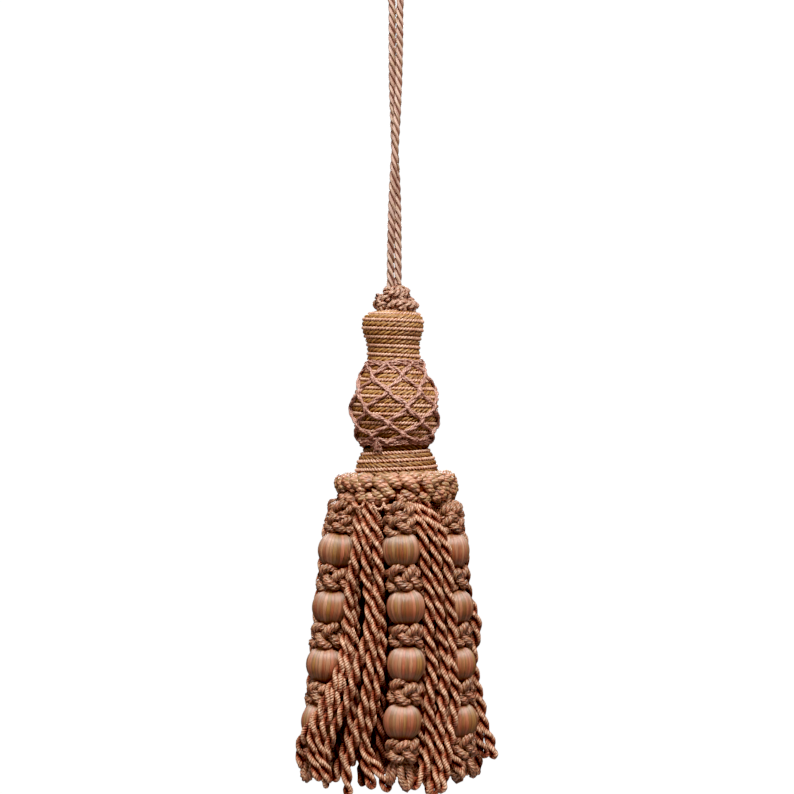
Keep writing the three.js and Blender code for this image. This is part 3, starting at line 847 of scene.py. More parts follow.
ruff_parts = []
for row, (height, ring, loops) in enumerate(RUFF_ROWS):
    for k in range(loops):
        number = row * 20 + k
        azimuth = 2 * np.pi * (k + 0.35 * scatter(number, 34) + 0.5 * (row % 2)) / loops
        ruff_parts += ruff_loop(height, ring, azimuth, number)
ruff_end = smooth_line(around(RUFF_END[:, 0], np.radians(RUFF_END[:, 1]), RUFF_END[:, 2]), RUFF_SPACING)
end_sides = carried_sides(ruff_end, (0, -1, 0))
ruff_parts += plied_cord(ruff_end, end_sides, END_GIRTH, RUFF_LAY, ruff_place, 0.4, 2, 8)
ruff_parts.append(lathe(RUFF_FORM, 32, ruff_place))
ruff_finish = thread_finish(
    "ruff threads", ["#713521", "#854e3b", "#8f614f", "#754b2b", "#8d5a4b", "#956856"], "#1c0602", 4, -0.8,
    0.12, run=LONG, hops=3, patch=2.5, mixed=0.1, deep=0.3, crease_shade=1.0, vary=0.35,
)
add_piece("top_ruff_loops", ruff_parts, ruff_finish, "top_ruff")

# %% [markdown]
# ## The crocheted band
# The skirt hangs from a thick crocheted band. Each stitch shows as a chain of puffs that leans to the right
# on its way down: a small one at the top edge, a fat one over the front and one tucked under. On the right
# side of the tassel the stitches are steeper, with four shorter puffs. One stitch copied round by an Array
# modifier would look stamped, so a loop makes each stitch anew with small differences.

# %% Band: its face
BAND_RADIUS = 14.0
BAND_HALF_WIDTH = 4.7
BAND_HALF_HEIGHT = 5.3
BAND_DEPTH = -53.0
BAND_RAISE = 0.3
BAND_SQUARE = 0.62  # 1 is a round section, and less is squarer
BAND_TOP_ANGLE = 112
BAND_LOW_ANGLE = -82
BAND_POINTS = 64
PUFF_INSET = 1.75


def band_place(points):
    return leaned(points + (0, 0, BAND_DEPTH))


def squared(wave):
    return np.sign(wave) * np.abs(wave) ** BAND_SQUARE


def band_line(start, slant):
    """A line down over the band's squarish face, and how far down each of its points is."""
    down = np.linspace(0, 1, BAND_POINTS)
    angle = np.radians(BAND_TOP_ANGLE + (BAND_LOW_ANGLE - BAND_TOP_ANGLE) * down)
    radius = BAND_RADIUS + (BAND_HALF_WIDTH - PUFF_INSET) * squared(np.cos(angle))
    z = BAND_RAISE + (BAND_HALF_HEIGHT - PUFF_INSET) * squared(np.sin(angle))
    return around(radius, start + slant * (down - 0.5), z), down


def ring_outline(radius, z, half_width, half_height):
    """Outline of a plain ring, for the lathe."""
    angles = np.radians(np.arange(0, 360, 15))[::-1]
    return [(radius + half_width * math.cos(a), z + half_height * math.sin(a)) for a in angles]


print("a stitch of the band is", round(run_length(band_line(0, 1)[0])[-1], 1), "mm long")

# %% Band: stitches
BAND_STITCHES = 26
BAND_LAY = 3.7
STITCH_SLANT = 58  # degrees round the tassel from top to foot
SIDE_SLANT = 34  # taken off on the right side
SIDE_FROM = 0.3
LONG_PUFFS = [(0.13, 1.45, 0.13), (0.44, 2.0, 0.19), (0.79, 1.75, 0.16)]  # share down, radius, half length
SHORT_PUFFS = [(0.11, 1.6, 0.12), (0.35, 1.85, 0.14), (0.6, 1.85, 0.14), (0.85, 1.6, 0.12)]
PUFF_END = 0.97
gimp_dyes = ["#5c240f", "#8c3f23", "#9c583b", "#764b1c", "#855b38", "#8e4424", "#a8694c"]


def band_puff(line, down, middle, size, reach, number):
    """One puff of three plies, thick in its middle, along a part of a stitch's line."""
    apart = (down - np.clip(middle, reach * 0.6, 1 - reach * 0.6)) / reach
    inside = np.abs(apart) < PUFF_END
    puff = line[inside]
    girth = size * (1 - np.abs(apart[inside]) ** 2.4) ** 0.5
    sides = outward_sides(puff, unit(puff - BAND_RADIUS * from_axis(puff)))
    sides = turned(sides, np.full(len(puff), 9 * scatter(number, 46)))
    return plied_cord(puff, sides, girth, BAND_LAY, band_place, scatter(number, 44), 3, 8)


band_parts = []
for k in range(BAND_STITCHES):
    azimuth = 2 * np.pi * k / BAND_STITCHES
    side = max(math.sin(azimuth), 0)
    slant = math.radians(STITCH_SLANT - SIDE_SLANT * side**2 + 9 * scatter(k, 41))
    line, down = band_line(azimuth + 0.05 * scatter(k, 42), slant)
    shift = 0.06 * scatter(k, 45) + (0.05 if k % 2 else -0.03)
    for n, (middle, size, reach) in enumerate(SHORT_PUFFS if side > SIDE_FROM else LONG_PUFFS):
        number = k * 4 + n
        size = size * (1 + 0.1 * scatter(number, 43) - 0.1 * side)
        band_parts += band_puff(line, down, middle + shift, size, reach, number)
band_finish = thread_finish(
    "band threads", gimp_dyes, "#140401", 5, -0.9, 0.12, run=LONG, hops=2, patch=5.0, mixed=0.2, deep=0.6,
    crease_shade=1.0, highlight_paint=0.16, vary=0.36, waver=0.5,
)
add_piece("skirt_band_stitches", band_parts, band_finish, "skirt_band")
# The band's core shows only between the stitches, in its nearly black painted shade.
band_core = lathe(ring_outline(BAND_RADIUS, 0, 3.0, 4.3), 72, band_place)
add_piece("skirt_band_core", [band_core], gap_shade_finish, "skirt_band")

# %% [markdown]
# A thin pink thread hangs in three small loops under the front of the band. Each is a bent line with two
# plies about it, made by the same helper as the fat cords.

# %% Band: thread loops
LOOPS = [(-5.6, 1.8), (-2.4, 1.8), (-11.6, 1.2)]  # place across, how far it hangs
LOOP_HALF_WIDTH = 1.65
LOOP_RADIUS = 19.4
LOOP_TOP = -3.6
LOOP_THICK = 0.42
LOOP_LAY = 1.6

loop_parts = []
for k, (x, hang) in enumerate(LOOPS):
    t = np.linspace(-1, 1, 40)
    across = x + LOOP_HALF_WIDTH * np.sign(t) * np.abs(t) ** 0.7
    depth = -np.sqrt(LOOP_RADIUS**2 - across**2) + 1.5 * np.abs(t) ** 4
    loop = np.stack([across, depth, LOOP_TOP - hang * (1 - np.abs(t) ** 2.2)], -1)
    sides = carried_sides(loop, (0, -1, 0))
    loop_parts += plied_cord(loop, sides, LOOP_THICK, LOOP_LAY, band_place, 0.3 * k, 2, 6)
add_piece("skirt_band_loops", loop_parts, pink_finish, "skirt_band")

# %% [markdown]
# ## Hangers
# Six cords hang from the band, each with four beads. Three of them are seen in the photo, and the back
# repeats them. Each could be posed by hand. A rule is shorter: a hanger's azimuth and its distance from the
# middle change on the way down, and what hangs on it is made about the origin and then put in its place.

# %% Hangers: where they hang
Hanger = namedtuple("Hanger", "azimuth flare sway first_bead pitch")
HANGERS = [
    Hanger(5, 5.2, 5, -182.7, 16.7),
    Hanger(63.5, 4.2, 2.5, -183.3, 16.85),
    Hanger(124, 6.0, -2, -183.1, 16.8),
    Hanger(184, 5.6, 2, -183.5, 16.9),
    Hanger(243, 6.2, -1, -183.2, 16.75),
    Hanger(298, 9.4, 0, -183.3, 16.85),
]
HANGER_SEAT = 17.6
HANGER_TOP_Z = -170.8
HANGER_DROP = 80.2
TILT_REACH = 4.0


def hanger_azimuth(hanger, z):
    share = np.clip((hanger.first_bead - z) / (3 * hanger.pitch), 0, 1)
    return np.radians(hanger.azimuth + hanger.sway * np.sin(np.pi * share))


def hanger_radius(hanger, z):
    return HANGER_SEAT + hanger.flare * np.maximum(0, (HANGER_TOP_Z - z) / HANGER_DROP) ** 0.9


def hanger_point(hanger, z):
    return around(hanger_radius(hanger, z), hanger_azimuth(hanger, z), z)


def on_hanger(hanger, z, turn=0.0):
    """A function that puts points made about the origin onto a hanger at a height, turned about it."""
    above = hanger_point(hanger, z + TILT_REACH)
    below = hanger_point(hanger, z - TILT_REACH)
    up = unit(above - below)
    azimuth = hanger_azimuth(hanger, z) + turn
    ahead = np.array([math.sin(azimuth), -math.cos(azimuth), 0])
    ahead = unit(ahead - up * np.dot(ahead, up))
    right = np.cross(up, -ahead)
    middle = (above + below) / 2
    return lambda points: points[..., :1] * -right + points[..., 1:2] * -ahead + points[..., 2:] * up + middle


for hanger in HANGERS:
    hanger_foot = hanger_point(hanger, HANGER_TOP_Z - HANGER_DROP)
    print("hanger at", hanger.azimuth, "degrees, with its foot at", hanger_foot.round(1))

# %% [markdown]
# Above, between and below the beads the gimp is tied into plaited knots. A knot is a ring plaited from one
# cord in three leads: the cord climbs and falls as it goes round, and passes over and under itself. It
# could be drawn by hand as a curve. A sine for the height and another, twice as quick, for the depth do the
# same, and every knot can then wander in its own way. The soft cord swells where it lies on top.

# %% Hangers: knots
GIMP_LAY = 3.1
GIMP_RADIUS = 1.25
KNOT_LEADS = 3
KNOT_BIGHTS = 5
KNOT_DEPTH = 0.85
KNOT_SPACING = 0.45
KNOT_SWELL = 0.12
LEAD_WANDER = 0.38
LEAD_LOOSE = 0.22


def plaited_ring(ring, climb, number):
    """Line of a plaited ring about the origin, and how far outside each point lies.

    The number of the knot says how its leads wander, so that no two knots are alike.
    """
    count = int(2 * np.pi * KNOT_LEADS * (ring + climb) / KNOT_SPACING)
    turn = np.linspace(0, KNOT_LEADS * 2 * np.pi, count, endpoint=False)
    slow = np.sin(2 * turn / KNOT_LEADS + 3 * scatter(number, 56))
    quick = np.sin(4 * turn / KNOT_LEADS + 3 * scatter(number, 57))
    height = climb * np.sin(KNOT_BIGHTS * turn / KNOT_LEADS) + LEAD_WANDER * (slow + quick)
    over = np.sin(2 * KNOT_BIGHTS * turn / KNOT_LEADS)
    loose = LEAD_LOOSE * np.sin(turn + 3 * scatter(number, 58))
    return around(ring + KNOT_DEPTH * over + loose, turn, height), over


def knot(ring, climb, place, number):
    """The cord of one knot."""
    line, over = plaited_ring(ring, climb * (1 + 0.08 * scatter(number, 52)), number)
    girth = GIMP_RADIUS * (1 + 0.06 * scatter(number, 55))
    lay = GIMP_LAY * girth / GIMP_RADIUS
    swollen = girth * (1 + KNOT_SWELL * over)
    sides = outward_sides(line, from_axis(line, 0.25), True)
    return plied_cord(line, sides, swollen, lay, place, scatter(number, 54), closed=True)


print("the cord of a knot is", round(run_length(plaited_ring(3.3, 2.55, 0)[0])[-1], 1), "mm long")

# %% [markdown]
# A few threads have worked loose from every knot, and below the last one the ends of the gimp are left as
# loops. Hair could give the loose threads, but four thin tubes on a knot are enough at this distance.

# %% Hangers: loose threads and end loops
STRAYS = 4
STRAY_RADIUS = 0.17
STRAY_LIFT = 1.75
STRAY_DIP = 1.3
END_LOOPS = 3
END_Z = -244.5
END_TURN = 0.6
END_SPACING = 0.55


def stray_threads(ring, place, number):
    """Threads that arch over a knot, from side to side."""
    t = np.linspace(-1, 1, 12)
    strays = []
    for k in range(STRAYS):
        seed = number * STRAYS + k
        azimuth = 2 * np.pi * (k + 0.4 * scatter(seed, 65)) / STRAYS + t * (0.45 + 0.2 * scatter(seed, 66))
        height = 1.4 * scatter(seed, 67) + 1.3 * scatter(seed, 68) * t
        stray = place(around(ring + STRAY_LIFT - STRAY_DIP * t**4, azimuth, height))
        sides = carried_sides(stray, (0.2, 0.3, 1))
        strays.append(tube(stray, sides, STRAY_RADIUS, 4, tone=scatter(seed, 69)))
    return strays


def end_loop(hanger, n, number):
    """One loop of gimp that falls from the foot of a hanger."""
    turn = 2 * np.pi * (n + 0.25 * scatter(number, 61)) / END_LOOPS + END_TURN
    reach = 3.4 + 0.7 * scatter(number, 62)
    fall = 6.6 + 1.6 * scatter(number, 63)
    bends = np.array([
        (-0.8, -0.6, 1.0), (-1.5, -reach * 0.7, -fall * 0.25), (-1.3, -reach, -fall * 0.75),
        (0.2, -reach * 0.95, -fall), (1.5, -reach * 0.85, -fall * 0.7), (1.2, -reach * 0.55, -fall * 0.2),
        (0.6, -0.5, 1.2),
    ])
    loop = on_hanger(hanger, END_Z, turn)(smooth_line(bends, END_SPACING))
    sides = carried_sides(loop, (0.3, -1, 0.1))
    return plied_cord(loop, sides, GIMP_RADIUS, GIMP_LAY, np.asarray, scatter(number, 64))


print(STRAYS, "loose threads on a knot and", END_LOOPS, "loops at the foot of a hanger")

# %% Hangers
TOP_KNOTS = [(-172.0, 2.0, 2.65), (-175.6, 2.0, 3.15)]  # height, climb, radius
LAST_KNOT = (-241.3, 2.4, 3.1)
MIDDLE_CLIMB = 2.55
MIDDLE_RADIUS = 3.3
CORE_HEIGHTS = np.linspace(-166.5, -246, 20)
CORE_RADIUS = 1.2
CORE_SPACING = 1.2
knot_dyes = ["#3e1104", "#68250d", "#76321a", "#562b0a", "#633819", "#69290d", "#823f28"]

knot_finish = thread_finish(
    "knot threads", knot_dyes, "#100301", 5, -0.9, 0.16, run=LONG, hops=2, patch=4.0, mixed=0.2, deep=0.65,
    crease_shade=1.0, highlight_paint=0.28, vary=0.45, highlight_dye="#e8ac88", waver=0.5,
)
for h, hanger in enumerate(HANGERS):
    core = smooth_line(np.array([hanger_point(hanger, z) for z in CORE_HEIGHTS]), CORE_SPACING)
    parts = [tube(core, carried_sides(core, (0, -1, 0)), CORE_RADIUS, tone=h)]
    between_beads = [hanger.first_bead - hanger.pitch * (n + 0.5) for n in range(3)]
    knots = TOP_KNOTS + [(z, MIDDLE_CLIMB, MIDDLE_RADIUS) for z in between_beads] + [LAST_KNOT]
    for n, (z, climb, ring) in enumerate(knots):
        number = h * len(knots) + n
        place = on_hanger(hanger, z, math.pi * scatter(number, 51))
        ring *= 1 + 0.05 * scatter(number, 53)
        parts += knot(ring, climb, place, number)
        parts += stray_threads(ring, place, number)
    for n in range(END_LOOPS):
        parts += end_loop(hanger, n, h * END_LOOPS + n)
    add_piece(f"hanger_{h + 1}_knots", parts, knot_finish, f"hanger_{h + 1}")

# %% [markdown]
# ## Silk beads
# The beads are balls covered with silk floss from pole to pole, so their colours run as meridian stripes
# and dip into the hole at both ends. A UV sphere has such meridians but no hole, so each bead is turned
# from an outline that goes round the ball and back through the bore. Threads of one colour lie together in
# locks, with a line of painted shade between two locks, and painted shade darkens the silk towards the
# lower hole.

# %% Beads: silk
SILK_LIGHT = (1.0, 0.87, 0.76, 1)
SILK_THREADS = 84  # round a bead
LOCK_THREADS = 2.7
FLOSS_RUN = 3.0
BEAD_ARC = 15.4  # mm over the ball from hole to hole
SILK_DEPTH = 0.15
SILK_DYES = ["#5b2912", "#885820", "#7e583b", "#a6543b", "#634013", "#8c4126", "#a66d4e", "#6e431d"]
# colour of the painted shade on the silk
SILK_SHADE_DYE = "#2a0a02"


def silk_finish():
    """Fine threads from pole to pole, in locks of one dye."""
    finish = Finish("silk floss")
    lay, along = finish.lay()
    tone = finish.tone()
    spot = finish.vector(lay * 9, along * 0.25 + tone * 17)
    waver = finish.node("ShaderNodeTexNoise", {"noise_dimensions": "2D"}, {"Vector": spot, "Scale": 1.0})
    place = lay * SILK_THREADS + waver * 0.8
    number = finish.maths("FLOOR", place)
    ridge = finish.maths("SINE", (place - number) * math.pi)
    chance = finish.chance(number, tone)
    lock = finish.maths("FLOOR", place / LOCK_THREADS)
    stripe = finish.chance(lock, tone * 5)
    stitch = finish.maths("FLOOR", along / FLOSS_RUN + chance * SHUFFLE)
    glint = finish.chance(number, stitch, tone)
    colour = finish.ramp(SILK_DYES, chance * 0.12 + stripe * 0.9)
    # Each thread is made brighter or darker by its glint, a painted glint that changes by chance.
    colour = finish.mix(1.0, colour, 0.75 + glint * 0.4, "MULTIPLY")
    # Painted shade in the gap between two locks.
    off_middle = place / LOCK_THREADS - lock - 0.5
    lock_gap_shade = (off_middle * off_middle * 4) ** 4
    # Painted shade, darker towards the lower hole, where the knot below shades the silk.
    low = 1 - along / BEAD_ARC
    # Painted shade in the grooves between threads, in the lock gaps and towards the lower hole.
    groove_shade = (1 - ridge) ** 1.5 * 0.4 + lock_gap_shade * 0.75
    groove_shade = groove_shade + (1 - groove_shade) * (low * low) ** 2 * 0.7
    finish.set(
        Base_Color=finish.mix(groove_shade, colour, dye(SILK_SHADE_DYE)),
        Roughness=0.48 + groove_shade * 0.3,
        Normal=finish.bump(ridge, SILK_DEPTH * MM),
        Anisotropic=0.7,
        Specular_IOR_Level=0.85,
        IOR=1.58,
        Specular_Tint=SILK_LIGHT,
    )
    return finish


silk = silk_finish()
print("silk floss -", len(silk.tree.nodes), "nodes")

# %% Beads
BEADS = 4
BEAD_RADIUS = 5.8
BEAD_POLE = 76  # degrees of latitude where the ball ends at its hole
BEAD_BORE = [(1.5, 4.9), (1.25, 4.2), (1.35, 0.0), (1.25, -4.2), (1.5, -4.9)]

latitude = np.radians(np.linspace(-BEAD_POLE, BEAD_POLE, 27))
bead_ball = [(BEAD_RADIUS * math.cos(a) ** 0.95, BEAD_RADIUS * math.sin(a)) for a in latitude]
for h, hanger in enumerate(HANGERS):
    for n in range(BEADS):
        number = h * BEADS + n
        place = on_hanger(hanger, hanger.first_bead - hanger.pitch * n, math.pi * scatter(number, 71))
        squash = 1 + 0.03 * scatter(number, 72)
        outline = [(radius * squash, height / squash) for radius, height in bead_ball + BEAD_BORE]
        bead = lathe(outline, 48, place, scatter(number, 73))
        add_piece(f"bead_{h + 1}_{n + 1}_silk", [bead], silk, f"bead_{h + 1}_{n + 1}")

# %% [markdown]
# ## Bullion fringe
# Bullion is a soft cord twisted hard, folded in half and let go, so that it winds about itself and closes
# in a loop at its lower end. Hair could scatter such strands and a simulation could let them hang, but
# neither puts them where the photo has them. So each strand follows a line of its own, and is one long
# tube: down one ply, round the loop, and up the other ply.

# %% Bullion: one strand
PLY_RADIUS = 0.86
PLY_REACH = 0.82
BULLION_LAY = 10.2
OPENING = 0.08  # how much wider the plies stand at the loop
OPENING_LENGTH = 5
LOOP_STRETCH = 1.3
UNEVEN = 0.05


def ease(value, low, high):
    """From 0 at low to 1 at high, starting and ending gently."""
    t = np.clip((value - low) / (high - low), 0, 1)
    return t * t * (3 - 2 * t)


def bullion_strand(line, start, tone, corners):
    """Down one ply, round the loop and up the other ply."""
    sides = carried_sides(line, (line[0, 0], line[0, 1], 0))
    length = run_length(line)
    open_up = 1 + OPENING * ease(length, length[-1] - OPENING_LENGTH, length[-1])
    outward = turned(sides, start - 2 * np.pi * length / BULLION_LAY)[0]
    reach = (PLY_REACH * open_up)[:, None]
    bend = np.radians(np.arange(15, 180, 15))[:, None]
    turn_back = np.cos(bend) * outward[-1] + LOOP_STRETCH * np.sin(bend) * heading(line)[-1]
    end = line[-1] + reach[-1] * turn_back
    points = np.vstack([line + reach * outward, end, (line - reach * outward)[::-1]])
    away = np.vstack([outward, end - line[-1], -outward[::-1]])
    girth = PLY_RADIUS * (1 + UNEVEN * np.sin(np.arange(len(points)) * 1.7 + 9 * start))
    return tube(points, outward_sides(points, away), girth[:, None], corners, tone=tone)


print("a strand is", round(2 * (PLY_REACH + PLY_RADIUS), 2), "mm across")

# %% [markdown]
# The strands hang in the gaps between the hangers. In the two front gaps and at the right edge they follow
# the photo: each row below was read off it, as pixels across and down, with a guess of the distance
# from the tassel's middle in mm. The camera then says where such a point lies.

# %% Bullion: strands seen in the photo
LEFT_STRANDS = [
    [(359, 500, 16), (357, 545, 20.5), (352, 580, 21), (348, 612, 21.5), (350, 645, 22), (345, 672, 24),
     (328, 702, 28), (309, 728, 31), (300, 748, 31), (302, 763, 30.5)],
    [(366, 500, 16), (367, 539, 20.5), (366, 576, 21), (370, 606, 21.5), (367, 636, 22.2), (357, 668, 23.5),
     (346, 704, 25), (334, 730, 26.2), (326, 757, 27.5), (326, 782, 27.5)],
    [(373, 500, 16), (377, 545, 20), (379, 576, 20.5), (377, 604, 21), (375, 636, 21.5), (369, 670, 22.3),
     (364, 706, 23), (354, 742, 24), (347, 770, 24.5), (348, 790, 24.5)],
    [(376, 500, 14), (379, 545, 17), (380, 600, 17.5), (382, 642, 18), (379, 679, 19), (369, 718, 20.5),
     (365, 757, 21.5), (371, 783, 22)],
    [(368, 500, 13), (370, 560, 16), (371, 620, 17), (375, 670, 17.5), (374, 712, 18.5), (365, 742, 20),
     (379, 772, 21.5), (386, 786, 22)],
    [(360, 500, 13), (357, 560, 16.5), (355, 620, 17.5), (356, 680, 18.5), (349, 735, 20), (336, 776, 21)],
    [(353, 500, 15), (350, 560, 17.5), (347, 620, 19.5), (341, 665, 24.5), (325, 702, 29), (313, 732, 31.4),
     (313, 757, 31), (318, 775, 30)],
    [(356, 500, 14.5), (353, 600, 18.5), (348, 660, 22), (336, 700, 26), (323, 728, 29.3), (320, 752, 29.5),
     (328, 777, 28)],
]
RIGHT_STRANDS = [
    [(408, 500, 16), (421, 525, 20.5), (425, 560, 21), (430, 600, 21.5), (429, 636, 21.8), (433, 670, 22),
     (429, 706, 22.3), (430, 742, 22.7), (424, 771, 23.2), (415, 784, 23.5)],
    [(414, 500, 16), (430, 524, 21), (436, 554, 21.8), (438, 590, 22.2), (440, 621, 22.6), (445, 657, 23),
     (444, 694, 23.2), (440, 730, 23.5), (438, 770, 23.8), (434, 790, 24)],
    [(421, 500, 16), (439, 528, 21), (448, 558, 22.8), (449, 591, 23.2), (453, 627, 23.6), (452, 664, 24),
     (456, 694, 24.3), (451, 730, 24.6), (446, 765, 25), (443, 786, 25)],
    [(424, 500, 14), (432, 545, 18), (438, 590, 18.5), (437, 640, 19), (441, 700, 20), (448, 745, 22),
     (461, 772, 24)],
    [(414, 500, 13), (418, 560, 17), (421, 620, 18), (420, 680, 18.5), (421, 740, 19), (428, 788, 19.5)],
    [(428, 500, 13), (434, 560, 16), (446, 640, 17), (448, 700, 18), (456, 748, 20), (466, 770, 21)],
    [(418, 500, 14), (424, 560, 17.5), (428, 640, 18.5), (430, 700, 19.5), (435, 745, 20.5),
     (434, 772, 21.5), (429, 788, 21.5)],
    [(432, 500, 13), (440, 600, 16.5), (445, 680, 18.2), (444, 740, 20.2), (441, 787, 21.2)],
]
EDGE_STRANDS = [
    [(440, 500, 16), (459, 545, 19.5), (468, 595, 21.6), (477, 626, 23.8), (473, 655, 22.8), (476, 682, 23.2),
     (481, 705, 24.6), (484, 725, 25.5), (490, 740, 27.6), (493, 753, 28.5)],
    [(436, 500, 15), (452, 560, 18.5), (462, 620, 20.5), (468, 680, 21.8), (474, 718, 23), (479, 738, 24.3),
     (484, 752, 25.7)],
]
STRAND_SPACING = 0.75


def seen_point(across, down, distance):
    """The place, in mm, of a point seen at a photo pixel, at a distance from the tassel's middle."""
    depth = 0.0
    for _ in range(4):
        scale = PIXEL_MM * (CAMERA_DISTANCE / MM + depth) / (CAMERA_DISTANCE / MM)
        x = VIEW_X + (across - PHOTO_PIXELS / 2) * scale
        depth = -math.sqrt(max(distance**2 - x**2, 0))
    return x, depth, VIEW_Z - (down - PHOTO_PIXELS / 2) * scale


strand_lines = {}
for name, strands in (("left", LEFT_STRANDS), ("right", RIGHT_STRANDS), ("edge", EDGE_STRANDS)):
    seen_lines = [np.array([seen_point(*row) for row in strand]) for strand in strands]
    strand_lines[name] = [smooth_line(line, STRAND_SPACING) for line in seen_lines]
    lowest = min(line[:, 2].min() for line in seen_lines)
    print(name, "strands:", len(seen_lines), "down to", round(lowest, 1), "mm")

# %% [markdown]
# The other four gaps are at the sides and the back. They all get the same eight strands, with small
# differences by chance. A strand starts on the band, is pushed out over its neighbours, and hangs between
# the two hangers beside it, so a rule that knows the hangers is enough. In the rows below, `root`, `upper`
# and `lower` are shares of the way from one hanger to the next, `seat` is the distance from the middle at
# the band, `rise` and `tip` are mm outside the hangers, above and at the hem, and `length` is a share of
# the full length.

# %% Bullion: strands of the other gaps
Strand = namedtuple("Strand", "root seat upper lower rise tip length")
STRANDS = [
    Strand(0.34, 14.2, 0.41, 0.35, 0.2, 0.8, 1.0),
    Strand(0.5, 14.4, 0.5, 0.5, 2.1, 2.0, 1.02),
    Strand(0.66, 14.2, 0.59, 0.65, 0.2, 0.8, 0.98),
    Strand(0.38, 11.6, 0.45, 0.42, -3.0, -3.0, 0.97),
    Strand(0.64, 11.6, 0.56, 0.58, -6.0, -3.2, 0.99),
    Strand(0.24, 12.8, 0.26, 0.27, -5.6, -4.2, 1.0),
    Strand(0.78, 12.8, 0.75, 0.73, -5.6, -4.0, 0.98),
    Strand(0.52, 12.0, 0.5, 0.49, -5.0, -4.6, 1.01),
]
SIDE_AND_BACK_GAPS = [1, 2, 3, 4]
FRINGE_Z = -168.6
STRAND_LENGTH = 83.4
STRAND_POINTS = 108


def strand_line(gap, place):
    """A strand's middle line in a gap, from its seat on the band down to its loop."""
    strand = STRANDS[place]
    number = gap * len(STRANDS) + place
    tip = strand.tip + 0.4 * scatter(number, 5)
    length = strand.length + (0.03 * scatter(number, 4) - 0.05)
    drop = np.linspace(0, 1, STRAND_POINTS)
    z = FRINGE_Z - drop * STRAND_LENGTH * length
    left = HANGERS[gap]
    right = HANGERS[(gap + 1) % len(HANGERS)]
    start = hanger_azimuth(left, z)
    span = (hanger_azimuth(right, z) - start) % (2 * np.pi)
    hung = strand.upper + (strand.lower - strand.upper) * ease(drop, 0.15, 0.6)
    swing = 0.03 * scatter(number, 6) * ease(drop, 0.6, 0.95)
    wave = 0.035 * np.sin(2 * np.pi * (1.3 * drop + scatter(number, 7))) * ease(drop, 0.1, 0.3)
    share = strand.root + (hung - strand.root) * ease(drop, 0, 0.09) + swing + wave
    circle = hanger_radius(left, z) * (1 - strand.lower) + hanger_radius(right, z) * strand.lower
    outside = circle + strand.rise + (tip - strand.rise) * drop
    return around(strand.seat + (outside - strand.seat) * ease(drop, 0, 0.13), start + span * share, z)


for gap in SIDE_AND_BACK_GAPS:
    strand_lines[f"gap_{gap + 1}"] = [strand_line(gap, place) for place in range(len(STRANDS))]
print("strands in the other gaps:", len(SIDE_AND_BACK_GAPS) * len(STRANDS))

# %% [markdown]
# Behind all these a ring and plainer, darker strands fill the skirt, so that no light comes through it.
# Their darker dyes are painted shade inside the skirt. They are hardly seen, so straight lines with fewer
# corners do.

# %% Bullion: inner strands
INNER_STRANDS = 38


def inner_line(k):
    """A strand inside the skirt. Every other one hangs nearer to the middle."""
    drop = np.linspace(0, 1, 44)
    radius = 6.0 + 4.0 * drop if k % 2 else 10.0 + 8.0 * drop
    azimuth = 2 * np.pi * (k + 0.3 * scatter(k, 84)) / INNER_STRANDS + 0.1 * scatter(k, 85) * drop
    return around(radius, azimuth, FRINGE_Z - (80 + 3 * scatter(k, 83)) * drop)


strand_lines["inner"] = [inner_line(k) for k in range(INNER_STRANDS)]
fringe_heading = lathe(ring_outline(11, -170.4, 3, 2.6), 60, np.asarray)
print("strands in all:", sum(len(lines) for lines in strand_lines.values()))

# %% Bullion
GROUP_SEEDS = 30
bullion_dyes = ["#711806", "#a53614", "#b54827", "#8a320b", "#bc5d35", "#80220b", "#a1461e"]

bullion_finish = thread_finish(
    "bullion threads", bullion_dyes, "#260600", 3, -0.62, 0.25, run=LONG, hops=3, patch=6.0, mixed=0.7,
    deep=0.86, crease_shade=1.0, shine=0.25, highlight_paint=0.7, vary=0.85, highlight_dye="#e9bf9c", waver=0.9,
)
# A darker copy of the bullion threads for the inside of the skirt: painted shade.
shaded_finish = thread_finish(
    "inner bullion threads in painted shade", ["#4f1c0c", "#5c2616", "#66301e", "#5a2a10"], "#120301", 3, -0.6, 0.25,
    run=LONG, hops=4, deep=0.7, crease_shade=1.0, shine=0.2, highlight_paint=0.05,
)
for g, (name, lines) in enumerate(strand_lines.items()):
    finish = shaded_finish if name == "inner" else bullion_finish
    corners = 6 if name == "inner" else 8
    parts = []
    for k, line in enumerate(lines):
        number = g * GROUP_SEEDS + k
        parts.append(bullion_strand(line, math.pi * scatter(number, 3), scatter(number, 81), corners))
    if name == "inner":
        parts.append(fringe_heading)
    add_piece(f"bullion_{name}", parts, finish, "bullion_fringe")

# %% [markdown]
# ## Floor and light
# The photo's ground is plain white without a shadow. So the sky is white where the camera sees it and dim
# where it would light the threads from all sides, and the pale floor lies far below the hem. One strong
# lamp above the front gives the silk its highlights; weaker ones fill in from the front, both sides and the
# back. A picture of a studio could light the scene too, but lamps need no file and can be moved one by one.

# %% Floor
FLOOR_Z = -0.9
FLOOR_HALF = 0.6
PAPER_LIGHT = (0.72, 0.71, 0.69, 1)
PAPER_DARK = (0.64, 0.63, 0.61, 1)

floor_corners = [(x * FLOOR_HALF, y * FLOOR_HALF, FLOOR_Z) for x, y in ((-1, -1), (1, -1), (1, 1), (-1, 1))]
floor_mesh = bpy.data.meshes.new("studio_floor")
floor_mesh.from_pydata(floor_corners, [], [(0, 1, 2, 3)])
floor = bpy.data.objects.new("studio_floor", floor_mesh)
bpy.context.scene.collection.objects.link(floor)
paper = Finish("studio paper")
grain = paper.node("ShaderNodeTexNoise", {}, {"Scale": 400.0})
paper.set(Base_Color=paper.mix(grain * 0.04, PAPER_LIGHT, PAPER_DARK), Roughness=0.9)
floor_mesh.materials.append(paper.material)
print("floor", 2 * FLOOR_HALF, "m wide at", FLOOR_Z, "m")

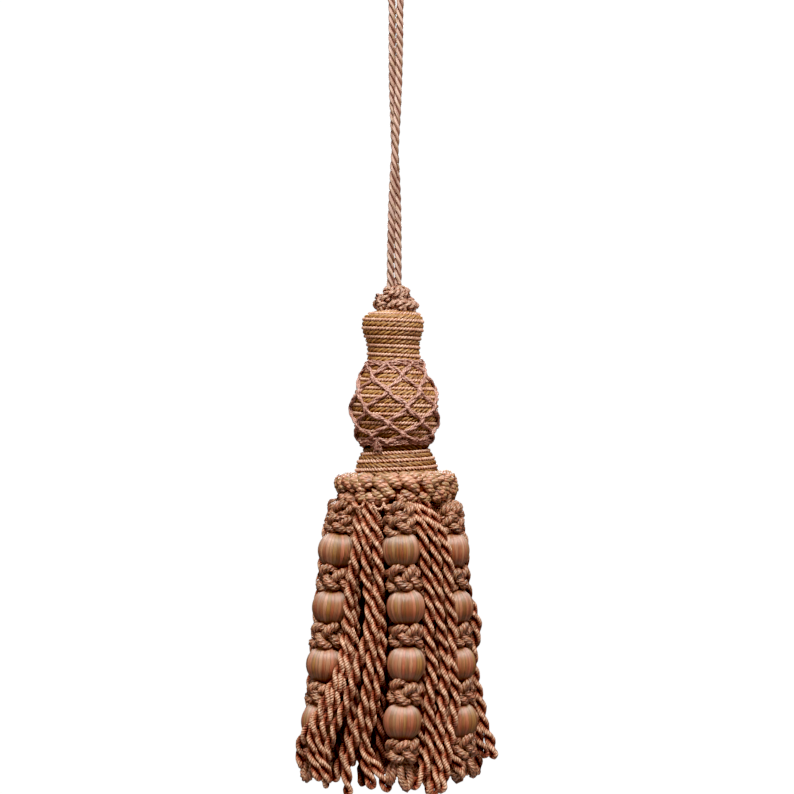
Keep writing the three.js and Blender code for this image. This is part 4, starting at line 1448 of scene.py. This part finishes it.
# %% Sky and lamps
SKY_LIGHT = 0.03
SKY_SEEN = 1.4
LAMP_TARGET = (0, 0, -0.16)
LAMPS = [  # name, place, size, power
    ("top_lamp", (0.04, -0.53, 0.67), 0.45, 34.5),
    ("front_lamp", (0.0, -1.0, -0.2), 0.6, 2.6),
    ("left_lamp", (-0.75, -0.1, 0.4), 0.4, 4.0),
    ("right_lamp", (0.75, -0.1, 0.4), 0.4, 5.0),
    ("back_lamp", (0.0, 0.85, 0.1), 0.5, 14.0),
]

world = bpy.data.worlds.new("studio_white")
bpy.context.scene.world = world
world.use_nodes = True
sky = world.node_tree.nodes["Background"]
sky.inputs["Color"].default_value = (1, 1, 1, 1)
seen = world.node_tree.nodes.new("ShaderNodeLightPath")
amount = world.node_tree.nodes.new("ShaderNodeMapRange")
amount.inputs["To Min"].default_value = SKY_LIGHT
amount.inputs["To Max"].default_value = SKY_SEEN
world.node_tree.links.new(seen.outputs["Is Camera Ray"], amount.inputs["Value"])
world.node_tree.links.new(amount.outputs["Result"], sky.inputs["Strength"])

for name, place, size, power in LAMPS:
    data = bpy.data.lights.new(name, "AREA")
    data.size = size
    data.energy = power
    lamp = bpy.data.objects.new(name, data)
    lamp.location = place
    lamp.rotation_euler = (Vector(LAMP_TARGET) - Vector(place)).to_track_quat("-Z", "Y").to_euler()
    bpy.context.scene.collection.objects.link(lamp)
print(len(LAMPS), "lamps of", sum(power for _, _, _, power in LAMPS), "W in all")

# %% [markdown]
# ## Picture curve
# The photo has deep blacks and soft lights. The dyes could be darkened for that, but then the lit threads
# would lose their colour. A black level and a bent curve in the colour management change only how the light
# is shown. The curve ends below 1, so the sky that the camera sees is made stronger than 1 and stays white.

# %% Picture curve
BLACK_LEVEL = 0.009
PICTURE_CURVE = [(0.06, 0.062), (0.16, 0.178), (0.3, 0.315), (0.5, 0.475), (0.75, 0.65), (1.0, 0.8)]

view = bpy.context.scene.view_settings
view.view_transform = "Standard"
view.use_curve_mapping = True
view.curve_mapping.black_level = (BLACK_LEVEL, BLACK_LEVEL, BLACK_LEVEL)
tones = view.curve_mapping.curves[3].points
tones[-1].location = PICTURE_CURVE[-1]
for light, shown in PICTURE_CURVE[:-1]:
    tones.new(light, shown)
view.curve_mapping.update()
print("a curve of", len(tones), "points")
